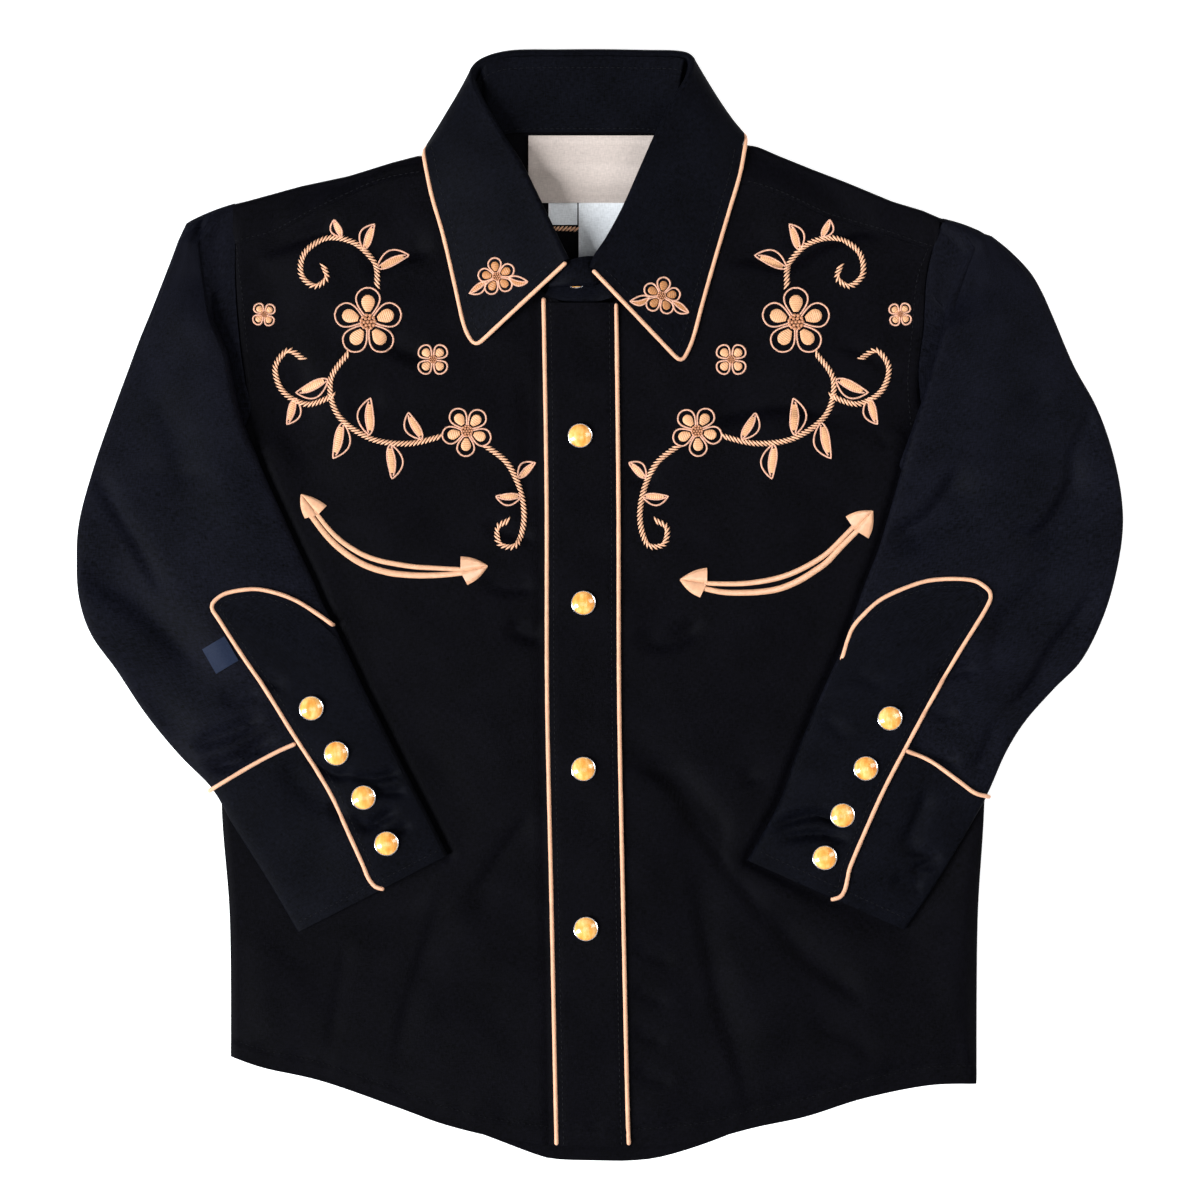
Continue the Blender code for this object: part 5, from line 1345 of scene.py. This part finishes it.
runs = []
for first, last in ((0.32, 6.0), (18.4, 23.75)):
    line = [leaf_inset(place) for place in np.linspace(first, last, 30)]
    runs.append(laid(leaf_trees, line, 0.0))
for row, inner in ((leaf_grid[0], leaf_grid[6]), (leaf_grid[-1], leaf_grid[-7])):
    line = [(p + unit(q - p) * LEAF_STITCH)[:2] for p, q in zip(row[17:-3], inner[17:-3])]
    runs.append(laid(leaf_trees, line, 0.0))
sew("stitching_collar", runs, black_thread)
stand_trees = trees_of(stand)
runs = []
for share in (0.09, 0.86):
    k = int(share * (stand_grid.shape[1] - 1))
    line = [p[:2] for p in stand_grid[40:-30, k]]
    runs.append(laid(stand_trees, line, 0.0, smooth=False))
sew("stitching_stand", runs, black_thread)

# ------------------------------------------------------------------ sleeve bands
# Each sleeve opening is bound by a strip with a rounded head that runs on down the cuff to its
# hem, piped along its outer edge. The cuff seam is piped as well.
RIGHT_BAND = (
    (-119.0, -7.6), (-124.3, -3.8), (-133.3, 1.8), (-142.3, 5.3), (-152.2, 7.0), (-163.7, 5.3),
    (-169.2, 1.8), (-170.3, -1.6), (-166.9, -7.0), (-158.0, -20.7), (-146.7, -37.4), (-135.5, -55.4),
    (-125.4, -71.1), (-117.5, -84.5), (-110.9, -99.0), (-104.1, -114.0), (-101.8, -119.6), (-98.9, -123.4),
    (-95.6, -124.6),
)
LEFT_BAND = (
    (106.9, -22.0), (110.4, -11.4), (115.3, -4.8), (124.5, 3.1), (140.2, 9.7), (151.4, 11.4),
    (162.8, 11.0), (168.1, 8.6), (171.4, 4.8), (169.4, -1.6), (157.1, -21.6), (144.8, -43.1),
    (134.6, -62.0), (124.5, -81.4), (116.6, -99.0), (110.0, -114.6), (108.7, -120.0), (107.6, -124.8),
    (105.6, -128.0), (102.2, -129.2),
)
RIGHT_CUFF_SEAM = ((-134.4, -61.2), (-141.2, -64.2), (-152.2, -70.0), (-164.7, -77.4), (-170.6, -81.0))
LEFT_CUFF_SEAM = ((134.9, -64.2), (145.4, -68.7), (156.8, -76.8), (164.4, -82.4), (169.6, -84.0))


def inner_edge(arm, place, inset):
    ox, oy, ix, iy, _ = spline(arm, place)
    span = math.hypot(ix - ox, iy - oy)
    return np.array((ix + (ox - ix) * inset / span, iy + (oy - iy) * inset / span))


BAND_WALL = 0.8
BAND_LIFT = 0.5          # middle of the strip above the sleeve
BAND_STITCH = 3.2        # from the piped edge to the stitching
BAND_PIPE_LIFT = 0.72
CUFF_PIPE_LIFT = 0.55
CUFF_END = 18.97         # arm row at the cuff's hem
CUFF_STITCH_ROW = 18.72


def sleeve_band(label, sign, band, arm, first):
    """The strip between its piped edge and the sleeve's inner turn."""
    outer = smooth_run(band, 160)[12:]
    trees = arm_trees[sign]
    count, width = len(outer), 30
    grid = np.zeros((count, width, 3))
    for i, (x, y) in enumerate(outer):
        near = inner_edge(arm, first + (CUFF_END - first) * i / (count - 1), 1.6)
        for c in range(width):
            t = c / (width - 1)
            px, py = x + (near[0] - x) * t, y + (near[1] - y) * t
            grid[i, c] = px, py, top_of(trees, px, py) + BAND_LIFT
    inset = np.linalg.norm(grid[:, :, :2] - grid[:, :1, :2], axis=2)
    grid[..., 2] += 0.2 * ease((inset - 1.0) / 2.0) - 0.14 * np.exp(-((inset - 3.0) / 0.8) ** 2)
    return grid_piece("cloth_band_" + label, grid, BAND_WALL, trim_poplin_painted_light, ["band_" + label],
                      rests=["cloth_sleeve_" + label])


def turned_under(run, reach):
    """The run carried on past its last point, round the fold of the sleeve."""
    (ax, ay, _), (bx, by, top) = run[-3], run[-1]
    size = math.hypot(bx - ax, by - ay)
    dx, dy = (bx - ax) / size, (by - ay) / size
    return run + [(bx + dx * reach * out, by + dy * reach * out, top - drop)
                  for out, drop in ((0.45, 0.25), (0.8, 0.9), (0.97, 1.8), (1.0, 2.6))]


# side, its sign, the strip's piped edge, the cuff seam, outline of the arm, its row where the strip begins
BANDS = (("right", -1, RIGHT_BAND, RIGHT_CUFF_SEAM, RIGHT_ARM, 12.2),
         ("left", 1, LEFT_BAND, LEFT_CUFF_SEAM, LEFT_ARM, 12.5))
strips = [sleeve_band(label, sign, band, arm, row) for label, sign, band, _, arm, row in BANDS]
strip_trees, runs = {}, []
for (label, sign, band, seam, arm, _), strip in zip(BANDS, strips):
    edge = laid(arm_trees[sign], band, BAND_PIPE_LIFT)[::-1]
    for i in (3, 2, 1, 0):       # held up where the cloth under its lower end falls away
        edge[i] = (*edge[i][:2], max(edge[i][2], edge[i + 1][2] - 0.4))
    pipe("piping_band_%s_edge" % label, turned_under(edge, 2.0), "piping_band_" + label)
    cuff_run = turned_under(laid(arm_trees[sign], seam, CUFF_PIPE_LIFT), 1.6)
    pipe("piping_cuff_%s_seam" % label, cuff_run, "piping_cuff_" + label)
    strip_trees[sign] = trees_of(strip, sleeves[sign], cuffs[sign])
    run = smooth_run(band, 60)
    ahead = forward(run)
    inward = np.stack([ahead[:, 1], -ahead[:, 0]], axis=1) * sign
    runs.append(laid(strip_trees[sign], (run + inward * BAND_STITCH)[5:], 0.0))
    low = spline(arm, CUFF_STITCH_ROW)
    start, end = low[0:2], low[2:4]
    across_cuff = [start + (end - start) * t for t in np.linspace(0.05, 0.95, 20)]
    runs.append(laid(strip_trees[sign], across_cuff, 0.0))
sew("stitching_bands", runs, black_thread)

# ------------------------------------------------------------------ smile pockets
# Curved slit pockets with a corded lip above and below the opening, stayed at each end by an
# embroidered arrowhead.
# name, width, middle line
WELTS = (
    ("welt_right_upper", 2.0, ((-125.6, 41.4), (-119.6, 33.7), (-114.3, 28.5), (-108.9, 24.7), (-103.6, 21.8),
                               (-98.3, 19.9), (-92.9, 18.6), (-82.3, 16.9), (-71.6, 16.2), (-60.0, 15.7))),
    ("welt_right_lower", 2.5, ((-127.6, 39.9), (-121.7, 32.1), (-117.0, 27.0), (-111.6, 22.5), (-106.3, 19.0),
                               (-100.9, 16.5), (-95.6, 14.9), (-90.3, 13.8), (-79.6, 13.0), (-68.9, 13.3),
                               (-59.8, 14.2))),
    ("welt_left_upper", 2.1, ((45.8, 9.6), (56.4, 9.3), (64.9, 9.6), (73.3, 10.8), (80.0, 12.4), (87.3, 15.2),
                              (95.7, 19.8), (101.3, 24.0), (106.9, 29.7), (112.0, 35.0))),
    ("welt_left_lower", 2.5, ((45.4, 7.4), (53.6, 5.7), (62.0, 5.4), (70.5, 5.8), (78.9, 7.2), (87.3, 10.6),
                              (94.6, 15.1), (100.2, 19.2), (105.8, 25.2), (113.2, 32.6))),
)
# name, point x, y, then the two base corners x, y
ARROWHEADS = (
    ("arrowhead_right_outer", -131.6, 48.8, -120.3, 43.6, -129.8, 38.1),
    ("arrowhead_right_inner", -49.3, 17.2, -58.3, 8.9, -61.3, 21.3),
    ("arrowhead_left_inner", 35.1, 11.2, 47.1, 16.3, 44.0, 3.4),
    ("arrowhead_left_outer", 120.1, 41.5, 118.1, 29.3, 108.2, 38.9),
)
SATIN_WALL = 0.3
embroidery_thread = satin("peach embroidery thread", (0.69, 0.37, 0.215), 0.42, 0.0, 0.09, 0.36)


def satin_field(rows, trees, crown=0.75):
    """Laid threads between two edges: rows of (left x, y, right x, y), raised along the middle."""
    rows = np.asarray(rows, float)
    columns = 9
    shares = np.linspace(0.0, 1.0, columns)
    grid, cut = np.zeros((len(rows), columns, 3)), np.zeros((len(rows), columns, 2))
    length = 0.0
    for i, row in enumerate(rows):
        if i:
            length += float(np.hypot(*((row[:2] + row[2:]) / 2 - (rows[i - 1][:2] + rows[i - 1][2:]) / 2)))
        width = float(np.hypot(*(row[2:] - row[:2])))
        for c, share in enumerate(shares):
            x, y = row[:2] + (row[2:] - row[:2]) * share
            puff = crown * min(1.0, width / 2.6) * (1.0 - (2 * share - 1.0) ** 4)
            grid[i, c] = x, y, top_of(trees, x, y) + 0.02 + puff
            cut[i, c] = length, (share - 0.5) * width
    return grid, cut


def satin_piece(name, fields, trees, nodes=(), crown=0.75, thread=embroidery_thread):
    """One embroidered motif made of satin fields, closed underneath."""
    points, faces, cut = [], [], []
    for rows in fields:
        grid, places = satin_field(rows, trees, crown)
        start = sum(len(p) for p in points)
        points.append(grid.reshape(-1, 3))
        cut.append(places.reshape(-1, 2))
        faces += grid_faces(*grid.shape[:2], start)
    obj = mesh_object(name, np.concatenate(points), faces, np.concatenate(cut), thread)
    thicken(obj, SATIN_WALL)
    rework(obj, lambda mesh: bmesh.ops.recalc_face_normals(mesh, faces=mesh.faces))
    hand_in(obj, "embroidery_thread", nodes)


for name, width, line in WELTS:
    run = smooth_run(line, 60)
    ahead = forward(run)
    half = 0.5 * width * (0.8 + 0.2 * np.sin(np.linspace(0.0, math.pi, 60)))[:, None]
    half = np.stack([-ahead[:, 1], ahead[:, 0]], axis=1) * half
    satin_piece("satin_" + name, [np.hstack([run + half, run - half])], front_trees, [name], 0.7)


def arrowhead_fields(tip, base_a, base_b):
    """Two fields of thread that slope back from the middle line, with slightly bowed sides."""
    tip, base_a, base_b = (np.array(p) for p in (tip, base_a, base_b))
    foot = (base_a + base_b) / 2 - (tip - (base_a + base_b) / 2) * 0.15
    fields = []
    for corner in (base_a, base_b):
        rows = []
        for t in np.linspace(0.02, 1.0, 22):
            bow = (corner - foot) * 0.16 * math.sin(math.pi * t)
            inner, outer = tip + (foot - tip) * t, tip + (corner - tip) * t + bow
            rows.append((*inner, *outer) if corner is base_a else (*outer, *inner))
        fields.append(rows)
    return fields


for name, px, py, ax, ay, bx, by in ARROWHEADS:
    satin_piece("satin_" + name, arrowhead_fields((px, py), (ax, ay), (bx, by)), front_trees, [name], 0.9)

# ------------------------------------------------------------------ embroidery
# Generic western floral work in the piping's colours: stems in slanted stem stitch that curl at
# their ends, and leaves and blossoms outlined in narrow satin stitch and partly filled with long
# stitches. It is mirrored from one front to the other, and each collar point has a blossom.
MIRROR_X = -7.9          # middle of the placket
STEMS = (
    ((-111.0, 110.5), (-118.5, 99.0), (-115.5, 84.0), (-101.5, 73.5), (-85.0, 71.0), (-70.5, 74.0)),
    ((-49.5, 69.5), (-40.5, 62.0), (-35.0, 50.0), (-33.5, 37.0), (-37.0, 26.5), (-44.0, 27.0),
     (-45.0, 34.0), (-40.5, 37.0)),
    ((-98.0, 140.5), (-99.0, 150.0), (-107.5, 159.0), (-119.5, 161.5), (-129.5, 155.5), (-131.5, 146.0),
     (-126.0, 140.5), (-120.5, 143.5), (-121.5, 149.0)),
    ((-117.5, 92.0), (-129.0, 88.5), (-139.5, 94.0), (-143.0, 104.5), (-137.5, 112.0), (-131.0, 108.5)),
)
# Leaves: root x, y, direction in degrees, length, width
LEAVES = (
    (-119.8, 99.0, 195.0, 15.0, 7.6), (-113.0, 80.0, 248.0, 16.0, 7.6), (-101.5, 75.0, 82.0, 16.0, 7.6),
    (-92.0, 70.5, 266.0, 15.0, 7.2), (-78.5, 73.0, 110.0, 13.0, 6.6), (-36.0, 56.0, 35.0, 10.0, 5.4),
    (-98.0, 148.5, 15.0, 15.0, 7.2), (-104.0, 156.5, 60.0, 12.0, 6.2), (-114.0, 162.0, 105.0, 8.2, 5.0),
    (-134.0, 91.0, 245.0, 12.0, 6.2), (-34.8, 47.5, 172.0, 11.0, 5.6),
)
# Blossoms: middle x, y, petal length, petal width, turn in degrees, petals
BLOSSOMS = (
    (-102.0, 124.5, 15.0, 14.0, 18.0, 5), (-58.5, 76.5, 11.0, 10.2, 50.0, 5),
    (-73.5, 108.0, 7.6, 8.4, 45.0, 4), (-148.0, 128.0, 5.6, 6.2, 40.0, 4),
)


def heading_pair(heading):
    a = math.radians(heading)
    return np.array((math.cos(a), math.sin(a))), np.array((-math.sin(a), math.cos(a)))


def long_leaf(root, heading, length, width, bend=0.18):
    """Left and right edge of a leaf, bending a little to one side."""
    ahead, left = heading_pair(heading)
    rows = []
    for t in np.linspace(0.0, 1.0, 18):
        middle = np.array(root) + ahead * length * t + left * length * bend * math.sin(math.pi * t * 0.8)
        half = 0.5 * width * math.sin(math.pi * min(1.0, t * 0.98 + 0.02)) ** 0.75 * (1.15 - 0.35 * t) + 0.05
        rows.append((*(middle + left * half), *(middle - left * half)))
    return rows


def petal(middle, heading, length, width, start=0.2, end=1.0, full=1.0):
    """Left and right edge of a petal, or of the part of it from start to end."""
    ahead, left = heading_pair(heading)
    rows = []
    for t in np.linspace(0.0, 1.0, 18):
        place = np.array(middle) + ahead * length * (start + (end - start) * t)
        half = 0.5 * width * math.sin(math.pi * min(1.0, 0.12 + 0.86 * t)) ** 0.6 * (0.45 + 0.62 * t)
        rows.append((*(place + left * (half * full + 0.04)), *(place - left * (half * full + 0.04))))
    return rows


def outline(rows, trees):
    """Closed run round a field, a little inside its edge."""
    rows = np.array(rows)
    middle = (rows[:, :2] + rows[:, 2:]) / 2
    ring = np.concatenate([rows[:, :2], rows[::-1, 2:], rows[:1, :2]])
    inner = np.concatenate([middle, middle[::-1], middle[:1]])
    away = ring - inner
    size = np.maximum(np.linalg.norm(away, axis=1), 1e-6)[:, None]
    return laid(trees, inner + away * np.maximum(0.0, 1.0 - 0.2 / size), 0.12, 0.8, smooth=False)


def half_leaf(rows, hand):
    """The part of a leaf between its rib and one edge, kept clear of both."""
    part = []
    for ax, ay, bx, by in rows[2:-3]:
        rib, edge = np.array(((ax + bx) / 2, (ay + by) / 2)), np.array((ax, ay) if hand > 0 else (bx, by))
        part.append((*(rib + (edge - rib) * 0.04), *(rib + (edge - rib) * 0.92)))
    return part


def thread_material(name, colour, scale):
    made, tree, shader = plain_material(name, colour, 0.45)
    strands = noise_node(tree, object_place(tree), scale, 2.0)
    shaded(tree, shader, colour, scaled(tree, strands, 0.9, 0.55))
    set_inputs(shader, Sheen_Weight=0.1)
    return made


knot_thread = thread_material("deeper peach thread", (0.46, 0.19, 0.085), 1500.0)
edge_thread = thread_material("rosy peach thread", (0.74, 0.41, 0.28), 1200.0)
stem_thread = thread_material("peach thread", (0.72, 0.385, 0.225), 1200.0)
fill_thread = satin("golden peach thread", (0.64, 0.33, 0.165), 0.9, 0.0, 0.10, 0.45)
gold_thread = satin("old gold thread", (0.43, 0.18, 0.062), 0.9, 0.0, 0.10, 0.45)


def edge_lines(name, runs):
    sew("edge_" + name, runs, edge_thread, "embroidery_thread",
        pitch=0.5, length=0.95, width=0.62, height=0.9, slant=math.pi / 2)


def leaf_work(name, leaves, hand, trees, fill):
    """Leaves outlined and ribbed, and filled on one side of the rib."""
    runs, halves = [], []
    for rows in leaves:
        rib = [((ax + bx) / 2, (ay + by) / 2) for ax, ay, bx, by in rows[1:-2]]
        runs += [outline(rows, trees), laid(trees, rib, 0.12, 0.8)]
        halves.append(half_leaf(rows, hand))
    satin_piece("fill_" + name, halves, trees, crown=0.4, thread=fill)
    edge_lines(name, runs)


def blossom(name, middle, length, width, turn, petals, trees, fill, flip=1.0):
    """Outlined petals, each with a smaller filled petal inside, round a heart of knots."""
    headings = [turn + flip * 360.0 / petals * k for k in range(petals)]
    inner = [petal(middle, heading, length, width, 0.3, 0.78, 0.52) for heading in headings]
    satin_piece("fill_" + name, inner, trees, crown=0.4, thread=fill)
    edge_lines(name, [outline(petal(middle, heading, length, width), trees) for heading in headings])
    heart = []
    for ring, count in ((0.0, 1), (0.11, 6), (0.2, 11)):
        for k in range(count):
            angle = 2 * math.pi * (k + 0.5 * ring) / count
            x, y = middle[0] + ring * length * math.cos(angle), middle[1] + ring * length * math.sin(angle)
            high = top_of(trees, x, y) + 0.45
            heart.append([(x - 0.05, y, high), (x + 0.05, y, high)])
    size = 0.11 * length
    sew("knots_" + name, heart, knot_thread, "embroidery_thread",
        pitch=1.0, length=size, width=size, height=0.9)


for hand, label in ((-1, "right"), (1, "left")):
    def turned(x, y):
        return (x, y) if hand < 0 else (2 * MIRROR_X - x, y)

    runs = [laid(front_trees, [turned(*p) for p in stem], 0.2, 0.8) for stem in STEMS]
    sew("stems_" + label, runs, stem_thread, "embroidery_thread",
        pitch=1.75, length=4.6, width=1.0, height=1.1, slant=0.66 * -hand)
    fields = [long_leaf(turned(x, y), heading if hand < 0 else 180.0 - heading, length, width, 0.18 * -hand)
              for x, y, heading, length, width in LEAVES]
    leaf_work("leaves_" + label, fields, hand, front_trees, fill_thread)
    for number, (x, y, length, width, turn, petals) in enumerate(BLOSSOMS, 1):
        blossom("blossom_%s_%d" % (label, number), turned(x, y), length, width,
                turn if hand < 0 else 180.0 - turn, petals, front_trees, fill_thread, -hand)

for label, hand, x, y, turn in (("collar_right", -1, -45.2, 144.0, 100.0),
                                ("collar_left", 1, 27.0, 135.5, 80.0)):
    blossom("blossom_" + label, (x, y), 8.2, 7.8, turn, 5, leaf_trees, gold_thread)
    fields = [long_leaf((x + 5.5 * math.cos(a), y + 5.5 * math.sin(a)), math.degrees(a), 8.5, 4.4, bend)
              for a, bend in ((math.radians(turn + 108.0), 0.12), (math.radians(turn + 252.0), -0.12))]
    leaf_work("leaves_" + label, fields, hand, leaf_trees, gold_thread)

# the inside of the back yoke's own embroidery, seen at the foot of the size label
sew("stem_inside_back", [laid(yoke_inner, [(-26.0, 165.0), (-18.0, 165.9), (-10.4, 165.6)], 0.3, 0.8)],
    stem_thread, "embroidery_thread", pitch=1.6, length=3.8, width=1.1, height=1.0, slant=0.72)

# ------------------------------------------------------------------ snaps
# Ring snaps: a rolled nickel rim crimped round an orange pearl cap. Four close the front, four
# each sleeve, and one the collar stand, which stands so steep that the snap faces the hem.
FRONT_SNAPS = ((-8.8, 74.4), (-7.3, 0.9), (-7.3, -72.0), (-6.2, -142.3))
RIGHT_CUFF_SNAPS = ((-126.7, -45.3), (-115.7, -65.1), (-103.8, -84.5), (-93.7, -104.7))
LEFT_CUFF_SNAPS = ((127.2, -49.7), (116.6, -71.7), (106.5, -92.4), (98.6, -110.9))
COLLAR_SNAP, COLLAR_SNAP_FACES = (-10.3, 143.6, 12.4), (0.08, -0.70, 0.71)
# radius, height, and whether the stretch from here outward is rim (1) or cap (0)
SNAP_PROFILE = (
    (0.0, 2.8, 0), (0.9, 2.77, 0), (1.8, 2.64, 0), (2.7, 2.42, 0), (3.5, 2.1, 0), (4.2, 1.72, 0),
    (4.65, 1.38, 0), (4.92, 1.05, 1), (5.0, 1.2, 1), (5.12, 1.27, 1), (5.28, 1.24, 1), (5.42, 1.06, 1),
    (5.5, 0.75, 1), (5.48, 0.4, 1), (5.3, 0.08, 1), (4.8, 0.0, 1), (0.0, 0.0, 1),
)
NICKEL = (0.66, 0.66, 0.68)
nickel, tree, shader = plain_material("nickel rim", NICKEL, 0.2, 1.0)
worn = noise_node(tree, object_place(tree), 700.0, 4.0)
shaded(tree, shader, NICKEL, scaled(tree, worn, 0.3, 0.82))
tree.links.new(scaled(tree, worn, 0.2, 0.07), shader.inputs["Roughness"])

pearl, tree, shader = plain_material("orange pearl cap", (0.88, 0.42, 0.12), 0.22)
coordinates = object_place(tree)
cloudy = noise_node(tree, coordinates, 260.0, 3.0)
streaks = noise_node(tree, drawn_out(tree, coordinates, (1.0, 0.22, 1.0)), 620.0, 5.0)
mixed = scaled(tree, cloudy, 0.5, math_node(tree, "MULTIPLY", streaks, 0.6))
ramp = tree.nodes.new("ShaderNodeValToRGB")
for stop, (position, colour) in enumerate(((0.3, (0.74, 0.20, 0.025)), (0.52, (0.88, 0.38, 0.075)),
                                           (0.75, (1.0, 0.62, 0.24)))):
    mark = ramp.color_ramp.elements[stop] if stop < 2 else ramp.color_ramp.elements.new(position)
    mark.position = position
    mark.color = (*colour, 1.0)
tree.links.new(mixed, ramp.inputs["Fac"])
tree.links.new(ramp.outputs["Color"], shader.inputs["Base Color"])
set_inputs(shader, Coat_Weight=0.7, Coat_Roughness=0.05)


def snap(node, where, normal=(0, 0, 1), turns=56):
    points, faces, kinds = [], [], []
    up = Vector(normal).normalized()
    swing = Vector((0, 0, 1)).rotation_difference(up)
    for radius, height, _ in SNAP_PROFILE:
        for k in range(turns):
            angle = 2 * math.pi * k / turns
            spot = swing @ Vector((radius * math.cos(angle), radius * math.sin(angle), height))
            points.append((where[0] + spot.x, where[1] + spot.y, where[2] + spot.z))
    for r in range(len(SNAP_PROFILE) - 1):
        for k in range(turns):
            after = (k + 1) % turns
            faces.append((r * turns + k, (r + 1) * turns + k, (r + 1) * turns + after, r * turns + after))
            kinds.append(SNAP_PROFILE[r][2])
    obj = mesh_object("ring_" + node, points, faces, [(p[0], p[1]) for p in points], pearl)
    obj.data.materials.append(nickel)
    obj.data.polygons.foreach_set("material_index", kinds)
    weld(obj)
    obj.data.shade_smooth()
    hand_in(obj, "pearl_snap", [node])


def seat(trees, x, y):
    """Where a snap's flat underside sits in the cloth under its rim."""
    spots = [(0.0, 0.0)] + [(4.6 * math.cos(t * 0.785), 4.6 * math.sin(t * 0.785)) for t in range(8)]
    heights = [top_of(trees, x + dx, y + dy) for dx, dy in spots]
    return (x, y, sum(heights) / len(heights) + 0.12)


for label, trees, places in (("front", placket_trees, FRONT_SNAPS),
                             ("cuff_right", strip_trees[-1], RIGHT_CUFF_SNAPS),
                             ("cuff_left", strip_trees[1], LEFT_CUFF_SNAPS)):
    for number, (x, y) in enumerate(places, 1):
        snap("snap_%s_%d" % (label, number), seat(trees, x, y))
snap("snap_collar", COLLAR_SNAP, COLLAR_SNAP_FACES)

# ------------------------------------------------------------------ labels
# Bare woven labels sewn into the back neck: a cream main label with turned ends, a size tab, and
# a longer care label, with a navy tab caught in the right sleeve band.
CREAM, WHITE, NAVY = (0.47, 0.40, 0.36), (0.80, 0.82, 0.84), (0.010, 0.0155, 0.034)
# name, node, left x, right x, top y, bottom y, lift, wall, colour, slot, thread pitch
LABELS = (
    ("label_cream_main", "label_main", -31.5, 24.0, 206.6, 177.2, 0.65, 0.4, CREAM, "label_cream", 0.30),
    ("label_white_size", "label_size", -22.7, -10.0, 179.2, 167.6, 0.2, 0.3, WHITE, "label_white", 0.22),
    ("label_white_care", "label_care", -9.4, 13.5, 179.2, 147.0, 0.2, 0.3, WHITE, "label_white", 0.22),
)
TAB = ((-174.8, -19.5), (-164.1, -13.2), (-157.9, -23.9), (-168.6, -30.2))
TAB_WALL = 0.45
LABEL_TURN = 3.2         # depth of the main label's turned ends


def label_material(name, colour, pitch, gloss=0.3, sheen=0.15):
    return woven_cloth(name, colour, 0.5, 0.06, 0.4, {"Pitch": pitch, "Cloud": 0.10},
                       Specular_IOR_Level=gloss, Sheen_Weight=sheen)


for name, node, x0, x1, top, bottom, lift, wall, colour, slot, pitch in LABELS:
    ys, xs = np.meshgrid(np.linspace(bottom, top, 40), np.linspace(x0, x1, 50), indexing="ij")
    z = yoke_back_height(xs, ys) + WALL / 2 + wall / 2 + lift
    hang = (top - ys) / (top - bottom)
    z = z + 0.5 * hang ** 2 + 0.22 * np.sin(xs / 7.0 + 1.7 * hang) * hang
    if node == "label_main":
        turned = np.minimum(np.minimum(xs - x0, x1 - xs), np.minimum(ys - bottom, top - ys))
        z = z + 0.22 * ease((LABEL_TURN - turned) / 0.8)
    flat_piece(name, xs, ys, z, wall, label_material(name.replace("_", " "), colour, pitch), [node],
               rests=["cloth_yoke"], slot=slot)

corners = [np.array(p) for p in TAB]
grid = np.zeros((24, 24, 3))
for r, v in enumerate(np.linspace(0.0, 1.0, 24)):
    for c, u in enumerate(np.linspace(0.0, 0.93, 24)):
        p = (corners[0] * (1 - u) + corners[1] * u) * (1 - v) + (corners[3] * (1 - u) + corners[2] * u) * v
        grid[r, c] = *p, top_of(arm_trees[-1], *p) + 0.35 + 0.25 * math.sin(math.pi * (1 - u)) ** 2
grid_piece("label_navy_tab", grid, TAB_WALL, label_material("navy tab", NAVY, 0.25, 0.06, 0.0),
           ["label_tab"], rests=["cloth_sleeve_right"], slot="tab_navy")

# ------------------------------------------------------------------ bounds of the shown objects
low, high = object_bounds()
